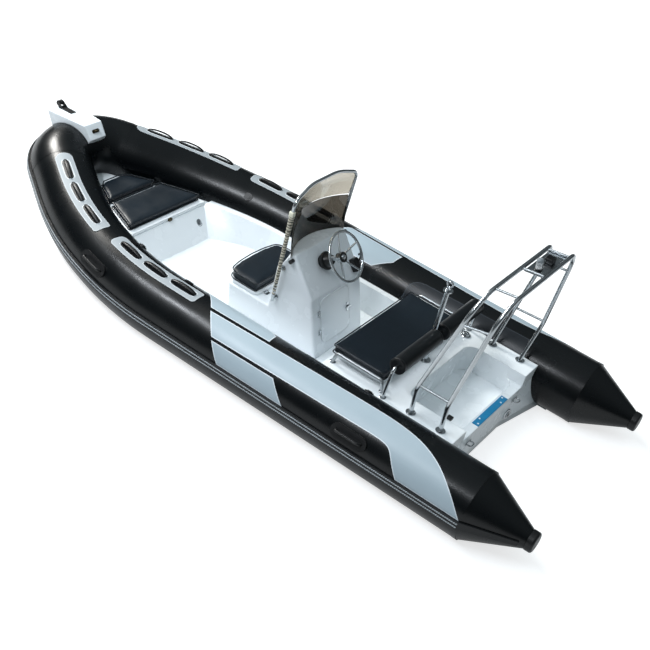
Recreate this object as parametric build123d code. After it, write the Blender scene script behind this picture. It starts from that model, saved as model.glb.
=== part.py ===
from build123d import *
import os
from math import cos, radians, sin

# Rigid inflatable boat with a helm console, in millimetres.
# Stations (X) count forward from the ends of the stern cones, heights (Z) from the axis of the stern tubes,
# and +Y is port. At the end every piece moves to a frame whose origin floats amidships on the waterline.

# Place in the water and common clearances
MIDSHIP = 2300.0
TUBE_AXIS_ABOVE_WATER = 190.0
SEAT_GAP = 0.3
RUN_GAP = 5.0
PIN_PLAY = 0.1

# Buoyancy tubes: a straight run, then three arcs to the nose, each arc given by its corner and radius
TUBE_R = 225.0
TUBE_Y = 773.0
CONE_FOOT = 370.0
CONE_TIP = 20.0
CONE_TIP_R = 62.0
BOW_TURN_X = 3045.0
SHOULDER = (3672.0, 613.0, 46.0)
NOSE = (4355.0, 202.0, 168.0)
BOW_TURN_R = 2230.0
SHOULDER_R = 2050.0
NOSE_R = 340.0
TURNS = [BOW_TURN_R, SHOULDER_R, NOSE_R]
SEAM_SHARE = 0.74
CAP_R = 66.0
CAP_LENGTH = 46.0
CAP_ROUND = 14.0
RAIL_HEIGHT = 58.0
RAIL_DEPTH = 12.0
RAIL_RIB_R = 4.5
RAIL_RIB_PITCH = 24.0

# Hull and mouldings
TRANSOM_X = 690.0
TRANSOM_TOP = 45.0
TRANSOM_HALF = 405.0
TRANSOM_THICK = 62.0
WING_START = 200.0
WING_END = 640.0
WING_SWEEP = 84.0
WING_Z = -190.0
SOLE_Z = -120.0
HULL_TOP = -150.0
LIP_Z = 55.0
BOW_DECK_X = 3500.0
BOW_DECK_Z = 36.0
BOW_HULL_TOP = -20.0
AFT_DECK_X = 1660.0
AFT_DECK_Z = 130.0
BULKHEAD_TOP_X = 3427.0
BULKHEAD_FOOT_X = 3235.0
WELL_FRONT = 1128.0
WELL_HALF = 410.0
WELL_FLOOR = -60.0
WELL_ROUND = 90.0
BENCH_X0 = 1285.0
BENCH_X1 = 1650.0
BENCH_HALF = 455.0
BENCH_TOP = 162.0

# Bow locker
BOW_LID_HINGE_X = 4002.0
BOW_LID_THICK = 25.0
LID_BACK_X = 3414.0
LEDGE = 16.0
BOW_LOCKER = (3530.0, 3880.0, 150.0, -110.0)
CUSHION_THICK = 47.0

# Console, in side view
CONSOLE_HALF = 285.0
CONSOLE_FOOT_X = 1860.0
KNEE = (1985.0, 275.0)
PANEL_TOP = (2181.0, 520.0)
CONSOLE_FRONT_X = 2296.0
COWL_FRONT_Z = 513.0
BROW_Z = 380.0
BROW_SIDE_X = 2285.0
COWL_SIDE_X = 2186.0
COWL_MIDDLE_X = 2293.0
COWL_SPAN = 300.0
SEAT_BOX_X = 2635.0
SEAT_BOX_FOOT_X = 2605.0
SEAT_BOX_TOP = 66.0
CONSOLE_OUTLINE = [(CONSOLE_FOOT_X, SOLE_Z), KNEE, PANEL_TOP, (CONSOLE_FRONT_X, COWL_FRONT_Z),
                   (CONSOLE_FRONT_X, SEAT_BOX_TOP), (SEAT_BOX_X, SEAT_BOX_TOP), (SEAT_BOX_FOOT_X, SOLE_Z)]
CONSOLE_WALL = 8.0
CONSOLE_ROUND = 14.0
DOOR_Y0 = -122.0
DOOR_Y1 = 190.0
DOOR_V0 = 85.0
DOOR_V1 = 385.0
DOOR_ROUND = 45.0
DOOR_OVERLAY = 10.0
DOOR_THICK = 8.0
HELM_Y = 50.0
HELM_ALONG = 118.0
WHEEL_OFF = 202.0
WHEEL_R = 163.0
RIM_R = 9.0

# Stainless rod and tube sizes
FRAME_R = 11.0
ARCH_R = 14.0
RUNG_R = 8.0
FOOT_R = 32.0
FOOT_THICK = 6.0

parts = {}
hinges = []


def mirrored(shape):
    """The same shape on the other side of the boat."""
    return mirror(shape, about=Plane.XZ)


def box(x0, x1, y0, y1, z0, z1):
    centre = Pos((x0 + x1) / 2, (y0 + y1) / 2, (z0 + z1) / 2)
    return centre * Box(abs(x1 - x0), abs(y1 - y0), abs(z1 - z0))


def towards(start, end):
    """A plane at start that faces end."""
    start = Vector(*start)
    return Plane(origin=start, z_dir=Vector(*end) - start)


def rod(start, end, radius):
    length = (Vector(*end) - Vector(*start)).length
    return extrude(towards(start, end) * Circle(radius), length)


def bent_rod(points, radii, radius):
    path = FilletPolyline(*points, radius=radii)
    return sweep(towards(points[0], points[1]) * Circle(radius), path=path)


def side_prism(points, half_width):
    """An outline of (x, z) points in side view, with the same width to each side."""
    return extrude(Plane.XZ * Polygon(*points, align=None), half_width, both=True)


def plan_prism(points, z0, z1):
    """An outline of (x, y) points in plan, from one height to another."""
    return Pos(0, 0, z0) * extrude(Polygon(*points, align=None), z1 - z0, dir=(0, 0, 1))


def cross_plane(x):
    """Across the boat at station x: local X to port, local Y up."""
    return Plane(origin=(x, 0, 0), x_dir=(0, 1, 0), z_dir=(1, 0, 0))


def both_sides(half):
    """Closes a port-side outline of (x, y) points with its mirror image."""
    return half + [(x, -y) for x, y in reversed(half)]


def flip(point):
    return (point[0], -point[1], point[2])


# Paths of the tubes
turn_corner = (BOW_TURN_X, TUBE_Y, 0.0)
seam = tuple(a + (b - a) * SEAM_SHARE for a, b in zip(SHOULDER, NOSE))
side_corners = [(CONE_FOOT, TUBE_Y, 0.0), turn_corner, SHOULDER, seam]
bow_corners = [seam, NOSE, flip(NOSE), flip(seam)]
side_path = FilletPolyline(*side_corners, radius=[BOW_TURN_R, SHOULDER_R])
bow_path = FilletPolyline(*bow_corners, radius=[NOSE_R, NOSE_R])
full_corners = side_corners[:3] + [NOSE, flip(NOSE)] + [flip(p) for p in reversed(side_corners[:3])]
full_path = FilletPolyline(*full_corners, radius=TURNS + TURNS[::-1])
plan_corners = [(p[0], p[1]) for p in (turn_corner, SHOULDER, NOSE)]


def side_tube(radius):
    run = sweep(towards(side_corners[0], side_corners[1]) * Circle(radius), path=side_path)
    tip_radius = CONE_TIP_R + radius - TUBE_R
    face = Plane(origin=side_corners[0], z_dir=(-1, 0, 0))
    return run + Solid.make_cone(radius, tip_radius, CONE_FOOT - CONE_TIP, face)


def bow_tube(radius):
    return sweep(towards(bow_corners[0], bow_corners[1]) * Circle(radius), path=bow_path)


port_cutter = side_tube(TUBE_R + SEAT_GAP)
tube_cutters = [port_cutter, mirrored(port_cutter), bow_tube(TUBE_R + SEAT_GAP)]


def clear_of_tubes(shape):
    for cutter in tube_cutters:
        shape = shape - cutter
    return shape


def on_tube(distance, angle):
    """A plane on the port tube's skin: normal outwards, local X forward along the tube. The angle is
    measured from outboard, upwards."""
    share = distance / side_path.length
    at = side_path @ share
    forward = side_path % share
    outboard = Vector(0, 0, 1).cross(forward).normalized()
    up = forward.cross(outboard)
    normal = outboard * cos(radians(angle)) + up * sin(radians(angle))
    return Plane(origin=at + normal * TUBE_R, x_dir=forward, z_dir=normal)


def build_tubes():
    port = side_tube(TUBE_R)
    parts["tube_port"] = port
    parts["tube_starboard"] = mirrored(port)
    parts["tube_bow"] = bow_tube(TUBE_R)
    end = Plane(origin=(CONE_TIP - SEAT_GAP, TUBE_Y, 0), z_dir=(-1, 0, 0))
    cap = extrude(end * Circle(CAP_R), CAP_LENGTH)
    cap = fillet(cap.faces().sort_by(Axis.X)[0].edges(), CAP_ROUND)
    parts["tube_end_caps"] = Compound(children=[cap, mirrored(cap)])


def build_rub_rail():
    inner = TUBE_R + SEAT_GAP
    profile = Pos(inner + RAIL_DEPTH / 2 - 2, 0) * Rectangle(RAIL_DEPTH + 4, RAIL_HEIGHT)
    profile -= Circle(inner)
    start = Plane(origin=side_corners[0], x_dir=(0, 1, 0), z_dir=(1, 0, 0))
    run = sweep(start * profile, path=full_path)
    beads = []
    face_x = inner + RAIL_DEPTH + SEAT_GAP
    for side in (-1, 1):
        bead = Pos(face_x, side * RAIL_RIB_PITCH / 2) * Circle(RAIL_RIB_R)
        bead &= Pos(face_x + RAIL_RIB_R, 0) * Rectangle(2 * RAIL_RIB_R, 2 * RAIL_HEIGHT)
        beads.append(sweep(start * bead, path=full_path))
    parts["rail_beads"] = Compound(children=beads)
    tip_x = CONE_TIP + 30.0
    tip_r = CONE_TIP_R + (tip_x - CONE_TIP) * (TUBE_R - CONE_TIP_R) / (CONE_FOOT - CONE_TIP)
    big = Plane(origin=(CONE_FOOT, TUBE_Y + inner + RAIL_DEPTH / 2, 0), x_dir=(0, 1, 0), z_dir=(1, 0, 0))
    small = Plane(origin=(tip_x, TUBE_Y + tip_r + 1 + RAIL_DEPTH / 2, 0), x_dir=(0, 1, 0), z_dir=(1, 0, 0))
    tail = loft([big * Rectangle(RAIL_DEPTH, RAIL_HEIGHT), small * Rectangle(RAIL_DEPTH, RAIL_HEIGHT / 2)])
    parts["rub_rail"] = run + tail + mirrored(tail)


def build_tube_gear():
    # Grey pads on top of the tubes: start and end along the tube, the angle of the middle, and the first
    # handle's place and the handles' pitch
    pads = [("mid", 2130.0, 2912.0, 88.0, 2262.5, 245.0), ("bow", 3035.0, 3871.0, 80.0, 3195.0, 248.0)]
    half_angle = 15.5
    thick = 3.0
    inner = TUBE_R + SEAT_GAP
    solids = []
    for name, start, end, angle, first, pitch in pads:
        path = Wire(side_path.edges()).trim(start / side_path.length, end / side_path.length)
        at = path @ 0
        forward = path % 0
        plane = Plane(origin=at, x_dir=Vector(0, 0, 1).cross(forward), z_dir=forward)
        reach = TUBE_R * 2
        wedge = Polygon((0, 0), *[(reach * cos(radians(a)), reach * sin(radians(a)))
                                  for a in (angle - half_angle, angle + half_angle)], align=None)
        profile = (Circle(inner + thick) - Circle(inner)) & wedge
        pad = sweep(plane * profile, path=path)
        solids += [pad, mirrored(pad)]
        # Three strap handles on each pad
        handles = []
        for i in range(3):
            handle = strap_handle(on_tube(first + pitch * i, angle), thick + 4 * SEAT_GAP)
            handles += [handle, mirrored(handle)]
        parts["grab_handles_" + name] = Compound(children=handles)
    parts["tube_patches"] = Compound(children=solids)


def strap_handle(plane, lift):
    length, foot, rise, strap, width = 204.0, 30.0, 36.0, 9.0, 36.0
    half = length / 2
    outline = [(-half, 0), (-half, strap), (-half + foot, rise), (half - foot, rise), (half, strap),
               (half, 0), (half - foot, 0), (half - foot - 12, rise - strap),
               (-half + foot + 12, rise - strap), (-half + foot, 0)]
    side = Plane(origin=plane.origin + plane.z_dir * lift, x_dir=plane.x_dir, z_dir=plane.y_dir)
    return extrude(side * Pos(0, 0) * flipped_polygon(outline), width / 2, both=True)


def flipped_polygon(outline):
    """The outline in a plane whose local Y points down, so heights are turned over."""
    return Polygon(*[(x, -z) for x, z in outline], align=None)


def build_carry_handles():
    solids = []
    # Middle of each handle along the tube, and its angle above the rub rail
    for distance, angle in ((795.0, 25.0), (2865.0, 27.0)):
        plane = on_tube(distance, angle)
        base = extrude(plane * SlotOverall(250, 92), 9, both=True)
        base = base - port_cutter
        ends = [plane.from_local_coords((s * 88, 0, z)) for s, z in ((-1, 6), (-1, 34), (1, 34), (1, 6))]
        grip = bent_rod([tuple(p) for p in ends], [22, 22], 8)
        solids += [base + grip, mirrored(base + grip)]
    parts["carry_handles"] = Compound(children=solids)


def build_small_tube_parts():
    valves = []
    for distance, angle in ((2840.0, 137.0), (900.0, 128.0)):
        plane = on_tube(distance, angle)
        disc = extrude(plane * Circle(30), 8, both=True) + extrude(plane * Circle(17), 13)
        disc = disc - port_cutter
        valves += [disc, mirrored(disc)]
    clips = []
    for distance in (2290.0, 2830.0):
        plane = on_tube(distance, 111.0)
        clip = extrude(plane * SlotOverall(64, 24), 12, both=True)
        clips.append(clip - port_cutter)
    parts["tube_fittings"] = Compound(children=valves + clips)


# Hull sections: station, keel z, chine y, chine z, flange y, flange z, top y
HULL_SECTIONS = [
    (540.0, -465.0, 600.0, -265.0, 700.0, -200.0, 740.0),
    (2300.0, -465.0, 600.0, -265.0, 700.0, -200.0, 740.0),
    (3050.0, -442.0, 582.0, -248.0, 690.0, -188.0, 735.0),
    (3560.0, -370.0, 480.0, -190.0, 585.0, -140.0, 640.0),
    (3950.0, -262.0, 340.0, -118.0, 430.0, -78.0, 480.0),
    (4230.0, -150.0, 200.0, -60.0, 265.0, -30.0, 320.0),
    (4400.0, -50.0, 60.0, -22.0, 90.0, -8.0, 130.0),
]
SECTION_TOP = 20.0


def transom_tool():
    """Everything aft of the transom: flat where an engine hangs, swept aft low down at the sides."""
    def outline(z, sweep_x):
        points = [(TRANSOM_X - 400, WING_END), (TRANSOM_X - sweep_x, WING_END), (TRANSOM_X, WING_START)]
        return Pos(0, 0, z) * Polygon(*both_sides(points), align=None)
    upper = loft([outline(TRANSOM_TOP, 1.0), outline(WING_Z, WING_SWEEP)], ruled=True)
    lower = extrude(outline(WING_Z, WING_SWEEP), 400, dir=(0, 0, -1))
    above = box(TRANSOM_X - 400, TRANSOM_X, -WING_END, WING_END, TRANSOM_TOP, TRANSOM_TOP + 300)
    return upper + lower + above


def build_hull():
    faces = []
    for x, keel, chine_y, chine_z, flange_y, flange_z, top_y in HULL_SECTIONS:
        half = [(chine_y, chine_z), (flange_y, flange_z), (top_y, SECTION_TOP)]
        outline = [(0, keel)] + half + [(-y, z) for y, z in reversed(half)]
        faces.append(cross_plane(x) * Polygon(*outline, align=None))
    hull = loft(faces, ruled=True)
    # Spray rails under the bottom: height up the bottom from keel to chine as a share
    for share in (0.36, 0.68):
        rail_points = []
        for x, keel, chine_y, chine_z, *_ in HULL_SECTIONS[:5]:
            rail_points.append((x, chine_y * share, keel + (chine_z - keel) * share))
        rails = []
        for x, y, z in rail_points:
            corner = [(y - 26, z - 8 + 2), (y + 16, z - 14), (y + 16, z + 24), (y - 26, z + 12)]
            rails.append(cross_plane(x) * Polygon(*corner, align=None))
        rail = loft(rails, ruled=True)
        hull = hull + rail + mirrored(rail)
    hull = clear_of_tubes(hull)
    hull = hull - transom_tool()
    hull = hull - box(400, BOW_DECK_X, -900, 900, HULL_TOP, 300)
    hull = hull - box(BOW_DECK_X - 1, 5000, -900, 900, BOW_HULL_TOP, 300)
    x0, x1, half_y, z0 = BOW_LOCKER
    hull = hull - box(x0, x1, -half_y, half_y, z0, 100)
    parts["hull_shell"] = keep_largest(hull)


def keep_largest(shape):
    return shape.solids().sort_by(SortBy.VOLUME)[-1]


def build_mouldings():
    aft_half = [(400.0, TUBE_Y)] + plan_corners
    outline = both_sides(aft_half)

    # Cockpit liner with sloping sides and forward bulkhead
    liner = plan_prism(outline, HULL_TOP, LIP_Z) & box(AFT_DECK_X, BOW_DECK_X, -900, 900, -500, 500)
    liner = liner - box(LID_BACK_X - LEDGE, BOW_DECK_X, -900, 900, BOW_DECK_Z, 500)
    floor = [(AFT_DECK_X - 50, 455.0), (2850.0, 455.0), (3020.0, 405.0), (BULKHEAD_FOOT_X, 262.0)]
    rim = [(AFT_DECK_X - 50, 506.0), (2880.0, 506.0), (3150.0, 458.0), (BULKHEAD_TOP_X, 392.0)]
    levels = ((SOLE_Z, floor), (LIP_Z, rim))
    faces = [Pos(0, 0, z) * Polygon(*both_sides(points), align=None) for z, points in levels]
    cavity = loft(faces, ruled=True)
    parts["cockpit_liner"] = keep_largest(clear_of_tubes(liner - cavity))

    # Bow deck round the locker
    deck = plan_prism(outline, BOW_HULL_TOP, BOW_DECK_Z) & box(BOW_DECK_X, 5000, -900, 900, -500, 500)
    x0, x1, half_y, z0 = BOW_LOCKER
    deck = deck - box(x0, x1, -half_y, half_y, -500, 500)
    parts["bow_deck"] = keep_largest(clear_of_tubes(deck))

    # Stern deck with the splash well and the bench's plinth
    deck = plan_prism(outline, HULL_TOP, AFT_DECK_Z) & box(400, AFT_DECK_X, -900, 900, -500, 500)
    well_aft = TRANSOM_X + TRANSOM_THICK
    well_centre = (well_aft + WELL_FRONT) / 2
    well = extrude(Pos(well_centre, 0, WELL_FLOOR) * RectangleRounded(WELL_FRONT - well_aft, 2 * WELL_HALF,
                                                                       WELL_ROUND), 400)
    notch = box(400, well_centre, -TRANSOM_HALF, TRANSOM_HALF, TRANSOM_TOP, 400)
    deck = deck - well - notch - transom_tool()
    deck = clear_of_tubes(deck)
    deck = keep_largest(deck)
    plinth = box(BENCH_X0, BENCH_X1, -BENCH_HALF, BENCH_HALF, AFT_DECK_Z, BENCH_TOP)
    plinth = fillet(plinth.edges().filter_by(Axis.Z), 50)
    parts["aft_deck"] = deck + plinth
    pad = box(TRANSOM_X, TRANSOM_X + TRANSOM_THICK, -WING_START, WING_START, TRANSOM_TOP, TRANSOM_TOP + 5)
    parts["clamp_pad"] = pad


def build_bow_step():
    side = [(4557.0, 424.0), (4491.0, 293.0), (4460.0, 200.0), (4230.0, 200.0), (4160.0, 345.0),
            (4228.0, 432.0)]
    step = side_prism(side, 200)
    plan = both_sides([(4120.0, 72.0), (4600.0, 127.0)])
    step = step & plan_prism(plan, 0, 600)
    parts["bow_step"] = keep_largest(clear_of_tubes(step))

    # Roller at the step's front edge, between two cheeks. Local X runs forward along the step's top from
    # its after edge, local Z is square to the top.
    after, front = side[5], side[0]
    fall = Vector(front[0] - after[0], 0, front[1] - after[1]).normalized()
    top = Plane(origin=(after[0], 0, after[1]), x_dir=fall, z_dir=Vector(-fall.Z, 0, fall.X))
    roller_x, roller_z, roller_r, roller_half = 332.0, 28.0, 19.0, 17.0
    bracket = box(192, 317, -26, 26, SEAT_GAP, 4)
    for side_y in (-1, 1):
        y = side_y * (roller_half + RUN_GAP / 2 + 2)
        cheek = [(272, 2), (317, 2), (346, roller_z - 8), (346, roller_z + 8), (320, roller_z + 12)]
        bracket += Pos(0, y, 0) * side_prism(cheek, 2)
    pin_r = 5.0
    bracket += rod((roller_x, -24, roller_z), (roller_x, 24, roller_z), pin_r)
    parts["bow_roller_bracket"] = top * bracket
    roller = rod((roller_x, -roller_half, roller_z), (roller_x, roller_half, roller_z), roller_r)
    roller -= Solid.make_torus(roller_r + 4, 9, Plane(origin=(roller_x, 0, roller_z), z_dir=(0, 1, 0)))
    roller -= rod((roller_x, -30, roller_z), (roller_x, 30, roller_z), pin_r + PIN_PLAY)
    parts["bow_roller"] = top * roller

    # Small black bracket on the step's after face
    slope = Plane(origin=(4194.0, 0, 388.5), x_dir=(0, 1, 0), z_dir=(-(432.0 - 345.0), 0, 4228.0 - 4160.0))
    plate = extrude(slope * RectangleRounded(64, 26, 6), 4)
    eye = [slope.from_local_coords((s * 18, 0, z)) for s, z in ((-1, 4), (-1, 26), (1, 26), (1, 4))]
    parts["bow_bracket"] = plate + bent_rod([tuple(p) for p in eye], [10, 10], 4)


def hinge(plane, spans, axis_up, leaf, reach, pin_r=3.0, knuckle_r=6.0):
    """A butt hinge whose pin runs along the plane's local Y at height axis_up. Knuckles and leaves stay,
    the pin and its lugs go with the panel, which lies on the +X side and begins at reach."""
    fixed = []
    lug = 10.0
    moving = None
    for low, high in spans:
        ends = [plane.from_local_coords((0, y, axis_up)) for y in (low, high)]
        knuckle = rod(tuple(ends[0]), tuple(ends[1]), knuckle_r)
        base = Box(leaf, high - low, 3, align=(Align.MAX, Align.MIN, Align.MIN))
        web = Box(3, high - low, axis_up, align=(Align.CENTER, Align.MIN, Align.MIN))
        knuckle += plane.location * Pos(0, low, 0) * base
        knuckle += plane.location * Pos(-knuckle_r + 1.5, low, 0) * web
        long_ends = [plane.from_local_coords((0, y, axis_up)) for y in (low - 1, high + 1)]
        fixed.append(knuckle - rod(tuple(long_ends[0]), tuple(long_ends[1]), pin_r + PIN_PLAY))
        pin_ends = [plane.from_local_coords((0, y, axis_up)) for y in (low - lug - 1, high + lug + 1)]
        piece = rod(tuple(pin_ends[0]), tuple(pin_ends[1]), pin_r)
        for start in (low - lug - 1, high + 1):
            arm = Box(reach + 1, lug, 2 * pin_r, align=(Align.MIN, Align.MIN, Align.CENTER))
            piece += plane.location * Pos(0, start, axis_up) * arm
        moving = piece if moving is None else moving + piece
    return fixed, moving


def build_bow_lid():
    hinge_z = BOW_DECK_Z
    axis_up = BOW_LID_THICK / 2
    lid_front = BOW_LID_HINGE_X - 12
    half = [(LID_BACK_X, 390.0), (3600.0, 335.0), (lid_front, 112.0)]
    lid = plan_prism(both_sides(half), BOW_DECK_Z + SEAT_GAP, BOW_DECK_Z + BOW_LID_THICK)
    plane = Plane(origin=(BOW_LID_HINGE_X, 0, hinge_z), x_dir=(-1, 0, 0), z_dir=(0, 0, 1))
    fixed, moving = hinge(plane, [(-75, -35), (35, 75)], axis_up, 26, 14)
    hinges.extend(fixed)
    parts["bow_locker_lid"] = lid + moving
    top = BOW_DECK_Z + BOW_LID_THICK + SEAT_GAP
    cushions = {"bow_cushion_aft": [(3457.0, 372.0), (3742.0, 252.0)],
                "bow_cushion_front": [(3778.0, 238.0), (3940.0, 150.0), (3984.0, 90.0)]}
    for name, points in cushions.items():
        cushion = plan_prism(both_sides(points), top, top + CUSHION_THICK)
        parts[name] = fillet(cushion.edges().filter_by(Axis.Z), 14)
    latch = box(LID_BACK_X - 13, LID_BACK_X - SEAT_GAP, -17, 17, BOW_DECK_Z + SEAT_GAP, BOW_DECK_Z + 23)
    latch = fillet(latch.edges().filter_by(Axis.X), 5)
    parts["bow_fittings"] = Compound(children=[parts.pop("bow_bracket"), latch])


def bow_front(side_x, middle_x, half):
    """In plan, all that lies forward of an arc through both sides and the middle."""
    far = CONSOLE_FRONT_X + 300
    edges = ThreePointArc((side_x, -half), (middle_x, 0), (side_x, half)).edges()
    edges += Polyline((side_x, half), (far, half), (far, -half), (side_x, -half)).edges()
    return Face(Wire(edges))


def brow_tool(shift):
    """What is cut away forward of the cowl, whose front is rounder and further aft higher up."""
    low = Pos(shift, 0, BROW_Z) * bow_front(BROW_SIDE_X, CONSOLE_FRONT_X + 1, COWL_SPAN)
    high = Pos(shift, 0, COWL_FRONT_Z + 12) * bow_front(COWL_SIDE_X, COWL_MIDDLE_X, COWL_SPAN)
    return loft([low, high], ruled=True)


def build_console():
    outer = side_prism(CONSOLE_OUTLINE, CONSOLE_HALF)
    on_sides = outer.edges().filter_by(lambda e: abs(abs(e.center().Y) - CONSOLE_HALF) < 1)
    outer = fillet(on_sides.filter_by(lambda e: e.center().Z > SOLE_Z + 5), CONSOLE_ROUND)
    face = Plane.XZ * offset(Polygon(*CONSOLE_OUTLINE, align=None), -CONSOLE_WALL)
    inner = extrude(face, CONSOLE_HALF - CONSOLE_WALL, both=True) - brow_tool(-1.5 * CONSOLE_WALL)
    inside = CONSOLE_HALF - CONSOLE_WALL
    skirt = box(CONSOLE_FOOT_X + 12, SEAT_BOX_FOOT_X - 9, -inside, inside,
                SOLE_Z - 1, SOLE_Z + CONSOLE_WALL + 2)
    shell = outer - brow_tool(0) - inner - skirt
    door_mid = (DOOR_Y0 + DOOR_Y1) / 2
    v_mid = (DOOR_V0 + DOOR_V1) / 2
    hole = Pos(-door_mid, v_mid) * RectangleRounded(DOOR_Y1 - DOOR_Y0, DOOR_V1 - DOOR_V0, DOOR_ROUND)
    shell = shell - extrude(rear_plane() * hole, 30, both=True)
    shell = shell - box(2416, 2600, -225, 225, 0, 200)
    parts["console_shell"] = shell

    # Door with its hinges to port and latch to starboard
    panel = Pos(-door_mid, v_mid, SEAT_GAP) * RectangleRounded(
        DOOR_Y1 - DOOR_Y0 + 2 * DOOR_OVERLAY, DOOR_V1 - DOOR_V0 + 2 * DOOR_OVERLAY, DOOR_ROUND + DOOR_OVERLAY)
    panel = extrude(panel, DOOR_THICK)
    port_edge = -DOOR_Y1 - DOOR_OVERLAY
    axis_x = port_edge - 9
    local = Plane(origin=(axis_x, 0, 0))
    fixed, moving = hinge(local, [(150, 185), (285, 320)], 6, 18, 12)
    place = rear_plane().location
    hinges.extend(place * f for f in fixed)
    door = panel + moving
    parts["console_door"] = place * door
    latch = Pos(-DOOR_Y0 - 18, 235, DOOR_THICK + 2 * SEAT_GAP) * extrude(RectangleRounded(26, 60, 8), 5)
    latch += Pos(-DOOR_Y0 - 18, 235, DOOR_THICK + 5) * extrude(SlotOverall(56, 12), 9)
    parts["console_latch"] = place * latch


def rear_plane():
    """On the console's lower rear face: local X to starboard, local Y up the face, normal aft."""
    rise = Vector(KNEE[0] - CONSOLE_FOOT_X, 0, KNEE[1] - SOLE_Z).normalized()
    normal = Vector(-rise.Z, 0, rise.X)
    return Plane(origin=(CONSOLE_FOOT_X, 0, SOLE_Z), x_dir=(0, -1, 0), z_dir=normal)


def panel_plane():
    """On the dash panel, from the knee up: local X to starboard, local Y up the panel."""
    rise = Vector(PANEL_TOP[0] - KNEE[0], 0, PANEL_TOP[1] - KNEE[1]).normalized()
    normal = Vector(-rise.Z, 0, rise.X)
    return Plane(origin=(PANEL_TOP[0], 0, PANEL_TOP[1]), x_dir=(0, -1, 0), z_dir=normal)


def build_front_seat():
    lid_back, lid_front, half, thick = 2408.0, 2632.0, 268.0, 26.0
    lid = box(lid_back, lid_front, -half, half, SEAT_BOX_TOP + SEAT_GAP, SEAT_BOX_TOP + thick)
    lid = fillet(lid.edges().filter_by(Axis.Z), 30)
    hinge_x = lid_back - 12
    plane = Plane(origin=(hinge_x, 0, SEAT_BOX_TOP), x_dir=(1, 0, 0), z_dir=(0, 0, 1))
    fixed, moving = hinge(plane, [(-195, -155), (155, 195)], 7, 24, 14)
    hinges.extend(fixed)
    parts["front_seat_lid"] = lid + moving
    # The cushion bulges forward of the lid in the middle
    back, side_x, middle_x = 2422.0, 2650.0, 2682.0
    edges = ThreePointArc((side_x, -half), (middle_x, 0), (side_x, half)).edges()
    edges += Polyline((side_x, half), (back, half), (back, -half), (side_x, -half)).edges()
    low, high = SEAT_BOX_TOP + thick + SEAT_GAP, SEAT_BOX_TOP + thick + 66
    cushion = Pos(0, 0, low) * extrude(Face(Wire(edges)), high - low, dir=(0, 0, 1))
    parts["front_cushion"] = fillet(cushion.edges().filter_by(Axis.Z), 45)


def build_windscreen():
    # Stainless hoop, from a foot on each side of the console, arched over the top
    foot = Vector(2252.0, 322.0, 150.0)
    shoulder = Vector(2233.0, 350.0, 915.0)
    crown = Vector(2262.0, 150.0, 964.0)
    half = [tuple(foot), tuple(shoulder), tuple(crown)]
    ends = half + [flip(p) for p in reversed(half)]
    bends = [60, 480, 480, 60]
    hoop = bent_rod(ends, bends, FRAME_R)
    wall_y = CONSOLE_HALF + SEAT_GAP
    for z in (foot.Z + 18, 398.0):
        at = foot + (shoulder - foot) * ((z - foot.Z) / (shoulder.Z - foot.Z))
        for side in (-1, 1):
            hoop += rod((at.X, side * wall_y, z), (at.X, side * at.Y, z), 7)
            hoop += rod((at.X, side * wall_y, z), (at.X, side * (wall_y + 5), z), 19)
    parts["windscreen_frame"] = hoop

    # Smoked screen from the cowl's front edge, and a paler pane from there up to the hoop
    thick = 4.0
    levels = [(505.0, 2204.0, 2298.0, 300.0), (747.0, 2240.0, 2322.0, 313.0), (755.0, 2241.0, 2321.0, 314.0),
              (975.0, 2226.0, 2262.0, 352.0)]
    sheets = []
    for z, side_x, middle_x, half_y in levels:
        sheets.append(Pos(0, 0, z) * curved_strip(side_x, middle_x, half_y, thick))
    cowl = side_prism_grown(CONSOLE_OUTLINE, SEAT_GAP, CONSOLE_HALF + SEAT_GAP) - brow_tool(1.5 * SEAT_GAP)
    parts["windscreen"] = keep_largest(loft(sheets[:2], ruled=True) - cowl)
    above = [(400.0, shoulder.Z - 20), (shoulder.Y, shoulder.Z - 20), (shoulder.Y, shoulder.Z),
             (crown.Y, crown.Z)]
    above = above + [(-y, z) for y, z in reversed(above)] + [(-400.0, 1100.0), (400.0, 1100.0)]
    lid = extrude(cross_plane(2000) * Polygon(*above, align=None), 600, dir=(1, 0, 0))
    pane = loft(sheets[2:], ruled=True) - lid - bent_rod(ends, bends, FRAME_R + SEAT_GAP)
    parts["windscreen_upper"] = keep_largest(pane)
    knobs = []
    for side in (-1, 1):
        knobs.append(rod((2188, side * wall_y, 484), (2188, side * 318, 484), 14))
    parts["windscreen_knobs"] = Compound(children=knobs)


def curved_strip(side_x, middle_x, half, thick):
    """In plan, a strip of even width behind an arc through both sides and the middle."""
    front = ThreePointArc((side_x, -half), (middle_x, 0), (side_x, half))
    back = ThreePointArc((side_x - thick, half), (middle_x - thick, 0), (side_x - thick, -half))
    edges = front.edges() + Line((side_x, half), (side_x - thick, half)).edges()
    edges += back.edges() + Line((side_x - thick, -half), (side_x, -half)).edges()
    return Face(Wire(edges))


def side_prism_grown(outline, grow, half_width):
    face = Plane.XZ * offset(Polygon(*outline, align=None), grow)
    return extrude(face, half_width, both=True)


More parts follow.
